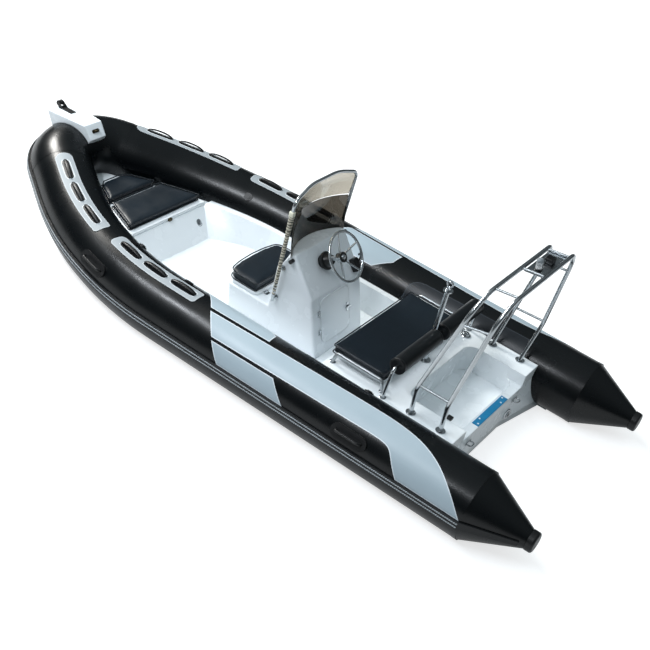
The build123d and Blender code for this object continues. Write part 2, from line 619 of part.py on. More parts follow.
def build_helm():
    panel = panel_plane()
    centre_v = -HELM_ALONG
    helm = panel * Pos(-HELM_Y, centre_v, SEAT_GAP)
    boot = Solid.make_cone(62, 46, 55)
    boot = boot + Pos(0, 0, 55) * Solid.make_cylinder(30, 30)
    bore = Solid.make_cylinder(12 + PIN_PLAY, 200)
    parts["helm_boot"] = helm * (boot - bore)
    # Wheel with five spokes dished towards the boot
    rim = Pos(0, 0, WHEEL_OFF) * Solid.make_torus(WHEEL_R, RIM_R)
    hub_z = WHEEL_OFF - 62
    wheel = rim + Pos(0, 0, hub_z) * Solid.make_cylinder(34, 34)
    wheel += Pos(0, 0, 20) * Solid.make_cylinder(12, hub_z - 20 + 5)
    for i in range(5):
        angle = radians(90 + 72 * i)
        start = (20 * cos(angle), 20 * sin(angle), hub_z + 17)
        end = (WHEEL_R * cos(angle), WHEEL_R * sin(angle), WHEEL_OFF)
        wheel += rod(start, end, 6)
    parts["steering_wheel"] = helm * wheel
    # Throttle box and lever low on the starboard side of the panel
    box_u, box_v = 234.0, -245.0
    body = panel * Pos(box_u, box_v, SEAT_GAP) * Box(52, 92, 44, align=(Align.CENTER, Align.CENTER, Align.MIN))
    body = fillet(body.edges(), 6)
    foot = panel.from_local_coords((box_u + 28, box_v, 26))
    top = panel.from_local_coords((box_u + 28, box_v + 66, 92))
    inner = panel.from_local_coords((box_u, box_v, 26))
    grip = panel.from_local_coords((box_u - 16, box_v + 66, 92))
    lever = bent_rod([tuple(inner), tuple(foot), tuple(top), tuple(grip)], [12, 12], 7)
    parts["throttle"] = body + lever


def build_bench():
    cushion = box(1281, 1663, -470, 470, BENCH_TOP + SEAT_GAP, BENCH_TOP + 60)
    parts["bench_cushion"] = fillet(cushion.edges().filter_by(Axis.Z), 45)
    rail_y, rail_z = 506.0, 205.0
    ends = [(1622.0, rail_y, AFT_DECK_Z + 4), (1606.0, rail_y, rail_z), (1262.0, rail_y, rail_z),
            (1246.0, rail_y, AFT_DECK_Z + 4)]
    rail = bent_rod(ends, [28, 28], FRAME_R)
    for x in (1622.0, 1246.0):
        rail += rod((x, rail_y, AFT_DECK_Z + SEAT_GAP), (x, rail_y, AFT_DECK_Z + 5), 20)
    parts["bench_rails"] = Compound(children=[rail, mirrored(rail)])
    # Backrest of two rolls on one bent tube
    back_x, back_z, end_y, roll_r = 1202.0, 354.0, 548.0, 56.0
    ends = [(1214.0, end_y, AFT_DECK_Z + 3), (back_x, end_y, back_z), (back_x, -end_y, back_z),
            (1214.0, -end_y, AFT_DECK_Z + 3)]
    frame = bent_rod(ends, [32, 32], FRAME_R)
    for side in (-1, 1):
        y = side * end_y
        frame += rod((1214.0, y, AFT_DECK_Z + SEAT_GAP), (1214.0, y, AFT_DECK_Z + 5), 22)
    parts["backrest_frame"] = frame
    rolls = []
    for side in (-1, 1):
        roll = rod((back_x, side * 34, back_z), (back_x, side * 506, back_z), roll_r)
        roll = fillet(roll.edges(), 12)
        bore = rod((back_x, side * 10, back_z), (back_x, side * 530, back_z), FRAME_R + SEAT_GAP)
        rolls.append(roll - bore)
    parts["backrest_bolsters"] = Compound(children=rolls)
    # Ski tow post behind the backrest
    post_x = 1238.0
    post = rod((post_x, 0, AFT_DECK_Z + SEAT_GAP), (post_x, 0, AFT_DECK_Z + 6), 38)
    post += rod((post_x, 0, AFT_DECK_Z + 2), (post_x, 0, 700), 17)
    post += rod((post_x, 0, 672), (post_x, 0, 680), 32)
    post += Solid.make_torus(20, 6, Plane(origin=(post_x, 0, 722), z_dir=(0, 1, 0)))
    parts["ski_post"] = post


# Arch hoops: name, then foot, knee, shoulder and top corner of the port leg as (x, y, z)
ARCH = [
    ("forward", (1018.0, 532.0, AFT_DECK_Z), (993.0, 628.0, 392.0), (877.0, 520.0, 945.0),
     (852.0, 396.0, 1062.0)),
    ("aft", (804.0, 532.0, AFT_DECK_Z), (778.0, 636.0, 400.0), (716.0, 505.0, 975.0),
     (697.0, 392.0, 1082.0)),
]


def build_arch():
    hoops = {}
    feet = []
    for name, foot, knee, shoulder, corner in ARCH:
        foot = (foot[0], foot[1], foot[2] + FOOT_THICK)
        half = [foot, knee, shoulder, corner]
        points = half + [flip(p) for p in reversed(half)]
        hoop = bent_rod(points, [110, 240, 100, 100, 240, 110], ARCH_R)
        hoops[name] = hoop
        parts["arch_" + name + "_hoop"] = hoop
        for side in (-1, 1):
            at = Plane(origin=(foot[0], side * foot[1], AFT_DECK_Z + SEAT_GAP))
            feet.append(extrude(at * Circle(FOOT_R), FOOT_THICK - 2 * SEAT_GAP))
    feet = [f - hoops["forward"] - hoops["aft"] for f in feet]
    parts["arch_feet"] = Compound(children=feet)
    # Rungs: the share along knee to shoulder on each leg, and places across the top
    fore, aft = ARCH
    pairs = []
    for share in (0.04, 0.86):
        ends = [tuple(a + (b - a) * share for a, b in zip(h[2], h[3])) for h in (fore, aft)]
        pairs += [ends, [flip(p) for p in ends]]
    for y in (345.0, 0.0, -345.0):
        pairs.append([(h[4][0], y, h[4][2]) for h in (fore, aft)])
    rungs = []
    for start, end in pairs:
        rungs.append(rod(start, end, RUNG_R) - hoops["forward"] - hoops["aft"])
    parts["arch_rungs"] = Compound(children=[keep_largest(r) for r in rungs])
    # Plate under the rungs with the stern light and horn. Local X runs forward along the top rungs.
    slope = Vector(fore[4][0] - aft[4][0], 0, fore[4][2] - aft[4][2]).normalized()
    top = Plane(origin=(aft[4][0], 0, aft[4][2]), x_dir=slope, z_dir=Vector(-slope.Z, 0, slope.X))
    plate_top = -RUNG_R - SEAT_GAP
    parts["light_plate"] = top * box(18, 138, -353, 8, plate_top - 3, plate_top)
    light = rod((78, -62, plate_top + SEAT_GAP), (78, -62, plate_top + 34), 20)
    light += rod((78, -62, plate_top + 34), (78, -62, plate_top + 84), 17)
    parts["stern_light"] = top * light
    horn = rod((73, -205, plate_top + SEAT_GAP), (73, -205, plate_top + 24), 26)
    horn += Pos(73, -205, plate_top + 24) * Sphere(22)
    parts["horn"] = top * horn


def wing_x(y, z):
    """Station of the transom's after face."""
    across = max(0.0, (abs(y) - WING_START) / (WING_END - WING_START))
    down = (TRANSOM_TOP - z) / (TRANSOM_TOP - WING_Z)
    return TRANSOM_X - WING_SWEEP * across * down


def build_stern_fittings():
    eyes = []
    for side in (-1, 1):
        y, z = side * 316.0, -8.0
        x = wing_x(y, z) - 2
        ends = [(x, y - 24, z), (x - 34, y - 24, z), (x - 34, y + 24, z), (x, y + 24, z)]
        eye = bent_rod(ends, [16, 16], 5)
        eye += box(x - 4, x, y - 36, y + 36, z - 9, z + 9)
        eyes.append(eye - transom_solid())
    y, z = -270.0, -110.0
    x = wing_x(y, z)
    ring = rod((x + 10, y, z), (x - 12, y, z), 24) - rod((x + 30, y, z), (x - 30, y, z), 15)
    parts["stern_fittings"] = Compound(children=eyes + [keep_largest(ring - transom_solid())])
    filler_x, filler_y, filler_r = 1195.0, -470.0, 34.0
    filler = rod((filler_x, filler_y, AFT_DECK_Z + SEAT_GAP), (filler_x, filler_y, AFT_DECK_Z + 6), filler_r)
    filler += rod((filler_x, filler_y, AFT_DECK_Z + 4), (filler_x, filler_y, AFT_DECK_Z + 14), filler_r - 12)
    parts["deck_filler"] = filler


def transom_solid():
    return parts["hull_shell"] + parts["aft_deck"]


build_tubes()
build_rub_rail()
build_tube_gear()
build_carry_handles()
build_small_tube_parts()
build_hull()
build_mouldings()
build_bow_step()
build_bow_lid()
build_console()
build_front_seat()
build_windscreen()
build_helm()
build_bench()
build_arch()
build_stern_fittings()

parts["hinge_leaves"] = Compound(children=hinges)

to_water = Pos(-MIDSHIP, 0, TUBE_AXIS_ABOVE_WATER)
os.makedirs("parts", exist_ok=True)
for name, shape in parts.items():
    export_step(to_water * shape, "parts/" + name + ".step")
    print(name, len(shape.solids()), round(shape.volume / 1000.0, 1))
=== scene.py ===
from math import cos, pi, radians, sin, tan

import bpy
from mathutils import Matrix, Vector


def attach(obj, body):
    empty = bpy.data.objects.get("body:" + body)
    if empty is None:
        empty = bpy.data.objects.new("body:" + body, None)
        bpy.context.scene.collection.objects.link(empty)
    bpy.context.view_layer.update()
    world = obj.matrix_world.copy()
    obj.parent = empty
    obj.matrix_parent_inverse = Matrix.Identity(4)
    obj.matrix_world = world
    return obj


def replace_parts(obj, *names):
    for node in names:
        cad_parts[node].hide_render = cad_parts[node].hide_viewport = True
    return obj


# Frame. The boat's solids come in as they were packed, and nothing here moves them. +X is the bow, +Y is
# port, and Z = 0 is the water's surface.
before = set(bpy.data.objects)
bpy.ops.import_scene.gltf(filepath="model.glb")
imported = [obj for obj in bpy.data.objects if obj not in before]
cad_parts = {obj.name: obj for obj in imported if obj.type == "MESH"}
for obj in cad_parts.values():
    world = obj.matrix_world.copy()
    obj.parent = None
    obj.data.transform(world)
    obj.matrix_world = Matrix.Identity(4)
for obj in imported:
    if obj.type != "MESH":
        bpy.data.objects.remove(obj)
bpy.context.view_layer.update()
bpy.ops.object.select_all(action="DESELECT")


# Camera. It stands off the port quarter, about 35 degrees above the water, and is tipped to its left so
# that the boat runs from the upper left of the picture to its lower right.
camera_data = bpy.data.cameras.new("camera")
camera_data.sensor_width = 36.0
camera_data.lens = 64.142
camera_data.clip_end = 100.0
camera = bpy.data.objects.new("camera", camera_data)
bpy.context.scene.collection.objects.link(camera)
camera.location = (-3.1927, 5.7353, 4.5653)
camera.rotation_euler = (radians(54.4927), radians(-12.4372), radians(-144.5547))
bpy.context.scene.camera = camera


# Buoyancy tubes. Two side tubes and a bow tube of coated fabric, a calendered PVC film on polyester cloth,
# cut in panels, glued with lapped seams and pumped up hard. The coat is a satin black that shows broad
# soft highlights, and the cloth's print just shows in it.
TUBE_RADIUS = 0.225
STERN_CONE_FOOT = Vector((-1.93, 0.773, 0.19))
AXIS_CORNERS = [(0.745, 0.773, 0.19), (1.372, 0.613, 0.236), (2.055, 0.202, 0.358), (2.055, -0.202, 0.358)]
AXIS_BENDS = [2.23, 2.05, 0.34]
BOW_SEAM = 3.9125
LAP_WIDTH = 0.030
LAP_THICK = 0.0011
WELD = 0.00001


def linear(colour):
    """An sRGB hex value as the linear colour that Blender's sockets take."""
    parts = [int(colour[i:i + 2], 16) / 255 for i in (1, 3, 5)]
    return tuple(c / 12.92 if c <= 0.04045 else ((c + 0.055) / 1.055) ** 2.4 for c in parts) + (1.0,)


def add_node(material, kind, settings=None, inputs=None):
    """Adds one node, sets it, and fills its sockets with values or with other nodes' outputs."""
    made = material.node_tree.nodes.new(kind)
    for key, value in (settings or {}).items():
        setattr(made, key, value)
    for key, value in (inputs or {}).items():
        if isinstance(value, bpy.types.NodeSocket):
            material.node_tree.links.new(value, made.inputs[key])
        else:
            made.inputs[key].default_value = value
    return made


def start_material(name, colour, roughness, metallic=0.0):
    """A new material, its shader, and the Object coordinates that its patterns read."""
    material = bpy.data.materials.new(name)
    material.use_nodes = True
    shader = material.node_tree.nodes["Principled BSDF"]
    shader.inputs["Base Color"].default_value = linear(colour)
    shader.inputs["Roughness"].default_value = roughness
    shader.inputs["Metallic"].default_value = metallic
    place = add_node(material, "ShaderNodeTexCoord").outputs["Object"]
    return material, shader, place


def dress(material, *names):
    """Gives CAD nodes, which keep their shape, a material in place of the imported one."""
    for name in names:
        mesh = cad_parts[name].data
        mesh.materials.clear()
        mesh.materials.append(material)


def mottle(material, shader, place, socket, scale, low, high):
    """Lets a colour, as two hex values, or a number wander softly over the surface."""
    cloud = add_node(material, "ShaderNodeTexNoise", None, {"Vector": place, "Scale": scale, "Detail": 4.0})
    if isinstance(low, str):
        tint = add_node(material, "ShaderNodeMix", {"data_type": "RGBA"},
                        {0: cloud.outputs["Fac"], 6: linear(low), 7: linear(high)})
        material.node_tree.links.new(tint.outputs[2], shader.inputs[socket])
    else:
        span = add_node(material, "ShaderNodeMapRange", None,
                        {"Value": cloud.outputs["Fac"], "From Min": 0.3, "From Max": 0.7,
                         "To Min": low, "To Max": high})
        material.node_tree.links.new(span.outputs["Result"], shader.inputs[socket])


def roughen(material, shader, height, strength, distance, under=None):
    """Adds one layer of relief to the shader's normal."""
    inputs = {"Height": height, "Strength": strength, "Distance": distance}
    if under is not None:
        inputs["Normal"] = under.outputs["Normal"]
    relief = add_node(material, "ShaderNodeBump", None, inputs)
    material.node_tree.links.new(relief.outputs["Normal"], shader.inputs["Normal"])
    return relief


def coated_fabric(name, dark, light, roughness, gloss):
    """The cloth's threads are 0.5 mm apart, too fine to show, so their print is drawn 3 mm apart."""
    material, shader, place = start_material(name, dark, roughness)
    shader.inputs["Specular IOR Level"].default_value = gloss
    mottle(material, shader, place, "Base Color", 2.2, dark, light)
    mottle(material, shader, place, "Roughness", 3.5, roughness - 0.04, roughness + 0.05)
    threads = add_node(material, "ShaderNodeTexVoronoi", {"feature": "SMOOTH_F1"},
                       {"Vector": place, "Scale": 330.0})
    fine = roughen(material, shader, threads.outputs["Distance"], 0.05, 0.001)
    swell = add_node(material, "ShaderNodeTexNoise", None, {"Vector": place, "Scale": 5.0, "Detail": 2.0})
    roughen(material, shader, swell.outputs["Fac"], 0.10, 0.015, fine)
    return material


def bent_line(corners, bends):
    """Straight runs between corners, each inner corner rounded by an arc of its own radius, as points."""
    corners = [Vector(c) for c in corners]
    points = [corners[0]]
    for before, corner, after, bend in zip(corners, corners[1:], corners[2:], bends):
        back = (before - corner).normalized()
        onward = (after - corner).normalized()
        half_turn = (pi - back.angle(onward)) / 2
        centre = corner + (back + onward).normalized() * bend / cos(half_turn)
        start = corner + back * bend * tan(half_turn) - centre
        end = corner + onward * bend * tan(half_turn) - centre
        steps = max(9, round(bend * half_turn * 2 / 0.02))
        sweep = [start.normalized().slerp(end.normalized(), i / steps) for i in range(steps + 1)]
        points += [centre + ray * bend for ray in sweep]
    return points + [corners[-1]]


AXIS = bent_line([STERN_CONE_FOOT] + AXIS_CORNERS, AXIS_BENDS)


def on_tube(along, angle, lift=0.0, side=1):
    """A point on the tube's skin: metres along its axis from the cone's foot, degrees from outboard up."""
    left = along
    last = len(AXIS) - 2
    for i in range(len(AXIS) - 1):
        run = AXIS[i + 1] - AXIS[i]
        if left <= run.length or i == last:
            break
        left -= run.length
    forward = run.normalized()
    at = AXIS[i] + forward * left
    here = (AXIS[i + 1] - AXIS[i - 1]).normalized() if i else forward
    there = (AXIS[i + 2] - AXIS[i]).normalized() if i < last else forward
    forward = here.lerp(there, min(max(left / run.length, 0.0), 1.0)).normalized()
    outboard = Vector((0, 0, 1)).cross(forward).normalized()
    up = forward.cross(outboard)
    point = at + (outboard * cos(radians(angle)) + up * sin(radians(angle))) * (TUBE_RADIUS + lift)
    return Vector((point.x, point.y * side, point.z))


def settle(piece, name, material, body="boat", smooth=35):
    """Names a mesh, puts its place into its vertices, turns its faces outwards and lets it ride."""
    piece.name = name
    bpy.ops.object.select_all(action="DESELECT")
    piece.select_set(True)
    bpy.context.view_layer.objects.active = piece
    bpy.ops.object.transform_apply(location=True, rotation=True, scale=True)
    bpy.ops.object.mode_set(mode="EDIT")
    bpy.ops.mesh.select_all(action="SELECT")
    bpy.ops.mesh.remove_doubles(threshold=WELD)
    bpy.ops.mesh.normals_make_consistent(inside=False)
    bpy.ops.object.mode_set(mode="OBJECT")
    bpy.ops.object.shade_smooth_by_angle(angle=radians(smooth))
    if material is not None:
        piece.data.materials.clear()
        piece.data.materials.append(material)
    bpy.ops.object.select_all(action="DESELECT")
    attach(piece, body)
    return piece


def to_starboard(piece, name):
    """A mirrored copy with its own mesh."""
    other = piece.copy()
    other.data = piece.data.copy()
    bpy.context.scene.collection.objects.link(other)
    other.data.transform(Matrix.Scale(-1, 4, (0, 1, 0)))
    return settle(other, name, None)


tube_black = coated_fabric("coated_fabric_black", "#020406", "#05080A", 0.27, 0.34)
dress(tube_black, "tube_port", "tube_starboard", "tube_bow")
lap_places = [("cone_lap", -0.006), ("bow_lap", BOW_SEAM - LAP_WIDTH / 2)]
for name, along in lap_places:
    bpy.ops.mesh.primitive_cylinder_add(vertices=120, radius=1, depth=1, end_fill_type="NOTHING")
    lap = bpy.context.object
    for v in lap.data.vertices:
        turn = Vector((v.co.x, v.co.y)).angle_signed(Vector((1, 0)))
        v.co = on_tube(along + (v.co.z + 0.5) * LAP_WIDTH, turn * 180 / pi, 0.0004)
    bpy.context.view_layer.update()
    bpy.ops.object.mode_set(mode="EDIT")
    bpy.ops.mesh.normals_make_consistent(inside=False)
    bpy.ops.object.mode_set(mode="OBJECT")
    skin = lap.modifiers.new("skin", "SOLIDIFY")
    skin.thickness = LAP_THICK
    skin.offset = 1.0
    bpy.ops.object.modifier_apply(modifier="skin")
    settle(lap, name + "_port", tube_black)
    to_starboard(lap, name + "_starboard")


# Coloured panels on the side tubes. They are cut from the same coated fabric in pale steel grey, glued flat
# on the black tube, and each has a thin paler edge strip. Black gaps between them read as dark stripes. The
# slate panel on the inboard top, with its charcoal edge, is black tube drawn slate as a painted reflection of
# the sky.
PANEL_THICK = 0.0010
EDGE_STRIP = 0.0055
ROUND_STEP = 3.0
PAD_STEP = 0.03
CONE_LENGTH = 0.37


def lay_flat_piece(name, outline, lift, thick, strip, colours, along_step=None):
    """Cuts a flat piece to an outline of (metres along, degrees up), and lays it on the tube."""
    bpy.ops.object.select_all(action="DESELECT")
    bpy.ops.mesh.primitive_circle_add(vertices=len(outline), radius=1, fill_type="NGON")
    piece = bpy.context.object
    flat = [(along, radians(angle) * TUBE_RADIUS) for along, angle in outline]
    for v, (x, y) in zip(piece.data.vertices, flat):
        v.co = (x, y, 0)
    bpy.ops.object.mode_set(mode="EDIT")
    bpy.ops.mesh.select_all(action="SELECT")
    if strip:
        bpy.ops.mesh.inset(thickness=strip)
        bpy.ops.object.mode_set(mode="OBJECT")
        for colour in colours:
            piece.data.materials.append(colour)
        for i, polygon in enumerate(piece.data.polygons):
            polygon.material_index = 0 if polygon.select else 1
        bpy.ops.object.mode_set(mode="EDIT")
    else:
        bpy.ops.object.mode_set(mode="OBJECT")
        piece.data.materials.append(colours[0])
        bpy.ops.object.mode_set(mode="EDIT")
    low = min(y for x, y in flat)
    high = max(y for x, y in flat)
    step = radians(ROUND_STEP) * TUBE_RADIUS
    for i in range(1, int((high - low) / step) + 1):
        bpy.ops.mesh.select_all(action="SELECT")
        bpy.ops.mesh.bisect(plane_co=(0, low + i * step, 0), plane_no=(0, 1, 0))
    if along_step:
        first = min(x for x, y in flat)
        last = max(x for x, y in flat)
        for i in range(1, int((last - first) / along_step) + 1):
            bpy.ops.mesh.select_all(action="SELECT")
            bpy.ops.mesh.bisect(plane_co=(first + i * along_step, 0, 0), plane_no=(1, 0, 0))
    bpy.ops.mesh.select_all(action="SELECT")
    bpy.ops.mesh.extrude_region_move(TRANSFORM_OT_translate={"value": (0, 0, thick)})
    bpy.ops.object.mode_set(mode="OBJECT")
    for v in piece.data.vertices:
        v.co = on_tube(v.co.x, v.co.y / TUBE_RADIUS * 180 / pi, lift + v.co.z)
    return settle(piece, name, None)


def station(x):
    """Metres along the tube's axis for a station counted from the ends of the stern cones."""
    return x - CONE_LENGTH


def eased(points, steps=6):
    """More points on a smooth curve through the given ones."""
    ends = [points[0]] + list(points) + [points[-1]]
    curve = []
    for a, b, c, d in zip(ends, ends[1:], ends[2:], ends[3:]):
        for i in range(steps):
            t = i / steps
            curve.append(tuple(0.5 * (2 * q + (r - p) * t + (2 * p - 5 * q + 4 * r - s) * t * t
                                      + (3 * q - p - 3 * r + s) * t ** 3) for p, q, r, s in zip(a, b, c, d)))
    return curve + [points[-1]]


panel_grey = coated_fabric("coated_fabric_steel_grey", "#96A5AE", "#A2B0B8", 0.40, 0.4)
strip_grey = coated_fabric("coated_fabric_pale_grey", "#C6CDD3", "#D0D6DB", 0.42, 0.4)
# Painted reflection: the slate colour and its charcoal edge stand in for the sky mirrored on the black tube's
# inboard top.
panel_slate_reflection = coated_fabric("coated_fabric_slate_painted_reflection", "#15191E", "#1B2026", 0.36, 0.35)
strip_dim_reflection = coated_fabric("coated_fabric_charcoal_painted_reflection", "#2A2F35", "#333940", 0.40, 0.35)
top_block = [(station(1.935), 87.4), (station(1.950), 112), (station(2.07), 138)]
top_block += [(station(2.574), 138), (station(2.391), 84)]
band = [(station(2.251), 41.5), (station(2.373), 77.6)]
band += eased([(station(1.92), 81.4), (station(1.2), 87), (station(0.95), 86), (station(0.77), 77.5),
               (station(0.609), 59), (station(0.467), 31.8), (station(0.373), 7.5)])
band += [(station(0.807), 7.5), (station(0.888), 33)]
band += eased([(station(0.905), 38), (station(0.935), 43.5), (station(0.985), 46.3), (station(1.06), 47)])
band += [(station(1.37), 45.5), (station(1.75), 43.9)]
low_block = [(station(2.238), 36.9), (station(1.757), 38.6), (station(1.63), 7.5), (station(2.139), 7.5)]
inner_reflection_outline = [(station(1.757), 165), (station(1.757), 142)]
inner_reflection_outline += eased([(station(1.754), 135), (station(1.738), 127), (station(1.70), 120.5),
                      (station(1.65), 118)])
inner_reflection_outline += [(station(0.80), 112), (station(0.80), 165)]
for name, outline, fill in [("panel_top", top_block, panel_grey), ("panel_band", band, panel_grey),
                            ("panel_low", low_block, panel_grey), ("panel_inner_reflection", inner_reflection_outline, panel_slate_reflection)]:
    edging = strip_grey if fill is panel_grey else strip_dim_reflection
    panel = lay_flat_piece(name + "_port", outline, 0.0006, PANEL_THICK, EDGE_STRIP, (fill, edging))
    to_starboard(panel, name + "_starboard")


# Grab pads. Moulded grey rubber pads are glued along the top of the tubes, rounded at their ends. Each has
# three long hollows, drawn as a black plate of painted shade with a pale painted highlight along its inboard
# side, and an arched black rubber grip over each.
PAD_HALF = 15.5
PAD_THICK = 0.0030
PAD_BORDER = 0.006
HOLLOW_HALF = (0.099, 6.4)
HIGHLIGHT_HALF = (0.104, 8.4)
HIGHLIGHT_SHIFT = 0.5
PAD_PLACES = [("mid", 2.130, 2.912, 88.0, 0.022, 0.034, (2.2625, 2.5075, 2.7525)),
              ("bow", 3.035, 3.871, 80.0, 0.022, 0.056, (3.195, 3.443, 3.691))]
GRIP_LENGTH = 0.200
GRIP_WIDTH = 0.025
GRIP_DEPTH = 0.010
GRIP_RISE = 0.020
GRIP_CUTS = 18


def rounded_oblong(first, last, middle, half, aft_round, fore_round):
    """An oblong on the tube's skin with rounded corners, as (metres along, degrees up)."""
    outline = []
    degree = 180 / pi / TUBE_RADIUS
    for x, sign, start, bend in ((last, 1, 0, fore_round), (first, 1, 90, aft_round),
                                 (first, -1, 180, aft_round), (last, -1, 270, fore_round)):
        ahead = 1 if x == last else -1
        for i in range(7):
            turn = radians(start + 15 * i)
            outline.append((x - ahead * bend + bend * cos(turn),
                            middle + sign * (half - bend * degree) + bend * degree * sin(turn)))
    return outline


def squared_oval(along, angle, half_along, half_angle):
    """A long oval with nearly square corners on the tube's skin, as (metres along, degrees up)."""
    outline = []
    for t in range(0, 360, 10):
        c, s = cos(radians(t)), sin(radians(t))
        outline.append((along + half_along * abs(c) ** 0.45 * (1 if c > 0 else -1),
                        angle + half_angle * abs(s) ** 0.45 * (1 if s > 0 else -1)))
    return outline


pad_rubber, shader, place = start_material("moulded_rubber_pad_grey", "#8F969B", 0.55)
mottle(pad_rubber, shader, place, "Base Color", 6.0, "#8A9196", "#969DA1")
grit = add_node(pad_rubber, "ShaderNodeTexNoise", None, {"Vector": place, "Scale": 420.0, "Detail": 2.0})
roughen(pad_rubber, shader, grit.outputs["Fac"], 0.12, 0.001)
grip_rubber, shader, place = start_material("moulded_rubber_black", "#090A0B", 0.42)
shader.inputs["Specular IOR Level"].default_value = 0.4
mottle(grip_rubber, shader, place, "Base Color", 9.0, "#08090A", "#0F1012")
grain = add_node(grip_rubber, "ShaderNodeTexNoise", None, {"Vector": place, "Scale": 500.0, "Detail": 2.0})
roughen(grip_rubber, shader, grain.outputs["Fac"], 0.10, 0.001)
dress(grip_rubber, "carry_handles", "tube_end_caps", "tube_fittings")
# Painted highlight: pale rubber that stands in for the lit inboard wall of each hollow.
pad_painted_highlight, shader, place = start_material("moulded_rubber_pad_painted_highlight", "#C9CED1", 0.40)
mottle(pad_painted_highlight, shader, place, "Base Color", 30.0, "#C4C9CC", "#D0D4D7")
pad_edge, shader, place = start_material("moulded_rubber_pad_edge", "#A4AAAE", 0.50)
mottle(pad_edge, shader, place, "Base Color", 20.0, "#9FA5A9", "#ABB0B4")
for name, first, last, middle, aft_round, fore_round, centres in PAD_PLACES:
    outline = rounded_oblong(first, last, middle, PAD_HALF, aft_round, fore_round)
    pad = lay_flat_piece("grab_pad_" + name + "_port", outline, 0.0004, PAD_THICK, PAD_BORDER,
                         (pad_rubber, pad_edge), PAD_STEP)
    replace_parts(pad, "tube_patches")
    to_starboard(pad, "grab_pad_" + name + "_starboard")
    for i, centre in enumerate(centres):
        label = "_" + name + "_" + str(i + 1)
        # Painted shade: a flat black plate stands in for the shaded floor of the hollow.
        hollow_shade = squared_oval(centre, middle, *HOLLOW_HALF)
        plate = lay_flat_piece("grip_hollow_shade" + label + "_port", hollow_shade, PAD_THICK + 0.0005, 0.0006,
                               0, (grip_rubber,), PAD_STEP)
        to_starboard(plate, "grip_hollow_shade" + label + "_starboard")
        # Painted highlight: a pale strip, shifted inboard, stands in for the lit inboard wall of the hollow.
        highlight_outline = squared_oval(centre, middle + HIGHLIGHT_SHIFT, *HIGHLIGHT_HALF)
        highlight_strip = lay_flat_piece("grip_highlight" + label + "_port", highlight_outline, PAD_THICK - 0.0008, 0.0012,
                             0, (pad_painted_highlight,), PAD_STEP)
        to_starboard(highlight_strip, "grip_highlight" + label + "_starboard")
        bpy.ops.mesh.primitive_cylinder_add(vertices=20, radius=1, depth=1)
        grip = bpy.context.object
        bpy.ops.object.mode_set(mode="EDIT")
        for cut in range(1, GRIP_CUTS):
            bpy.ops.mesh.select_all(action="SELECT")
            bpy.ops.mesh.bisect(plane_co=(0, 0, cut / GRIP_CUTS - 0.5), plane_no=(0, 0, 1))
        bpy.ops.object.mode_set(mode="OBJECT")
        for v in grip.data.vertices:
            u = 2 * v.co.z
            arch = (1 - min(abs(u), 1) ** 2.4) ** 0.8
            across = v.co.x * GRIP_WIDTH / 2 * (1 - 0.22 * abs(u) ** 3)
            raised = PAD_THICK + 0.004 + GRIP_RISE * arch + v.co.y * GRIP_DEPTH / 2
            v.co = on_tube(centre + u * GRIP_LENGTH / 2, middle + across / TUBE_RADIUS * 180 / pi, raised)
        settle(grip, "grip" + label + "_port", grip_rubber)
        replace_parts(grip, "grab_handles_" + name)
        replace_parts(to_starboard(grip, "grip" + label + "_starboard"), "grab_handles_" + name)


# Rub rail. A black extruded rubber fender is glued round the outside of the tubes, and two pale beads run
# along its face, moulded with fine cross ribs.
RIB_PITCH = 0.014
rail_black, shader, place = start_material("extruded_rubber_black", "#0D0E10", 0.46)
shader.inputs["Specular IOR Level"].default_value = 0.35
mottle(rail_black, shader, place, "Base Color", 5.0, "#0B0C0E", "#131517")
grit = add_node(rail_black, "ShaderNodeTexNoise", None, {"Vector": place, "Scale": 300.0, "Detail": 2.0})
roughen(rail_black, shader, grit.outputs["Fac"], 0.10, 0.001)
dress(rail_black, "rub_rail")
bead_grey, shader, place = start_material("extruded_rubber_pale", "#9EA4A9", 0.5)
apart = add_node(bead_grey, "ShaderNodeSeparateXYZ", None, {"Vector": place})
inboard = add_node(bead_grey, "ShaderNodeMath", {"operation": "ABSOLUTE"}, {0: apart.outputs["Y"]})
along = add_node(bead_grey, "ShaderNodeMath", {"operation": "SUBTRACT"},
                 {0: apart.outputs["X"], 1: inboard.outputs[0]})
turns = add_node(bead_grey, "ShaderNodeMath", {"operation": "MULTIPLY"},
                 {0: along.outputs[0], 1: 2 * pi / RIB_PITCH})
ribs = add_node(bead_grey, "ShaderNodeMath", {"operation": "SINE"}, {0: turns.outputs[0]})
between = add_node(bead_grey, "ShaderNodeMapRange", None, {"Value": ribs.outputs[0], "From Min": -1.0})
# Painted shade: the beads' grey goes darker in the troughs between ribs, following the relief.
tint = add_node(bead_grey, "ShaderNodeMix", {"data_type": "RGBA"},
                {0: between.outputs["Result"], 6: linear("#5C6165"), 7: linear("#A5AAAE")})
bead_grey.node_tree.links.new(tint.outputs[2], shader.inputs["Base Color"])
roughen(bead_grey, shader, between.outputs["Result"], 0.4, 0.0015)
dress(bead_grey, "rail_beads")


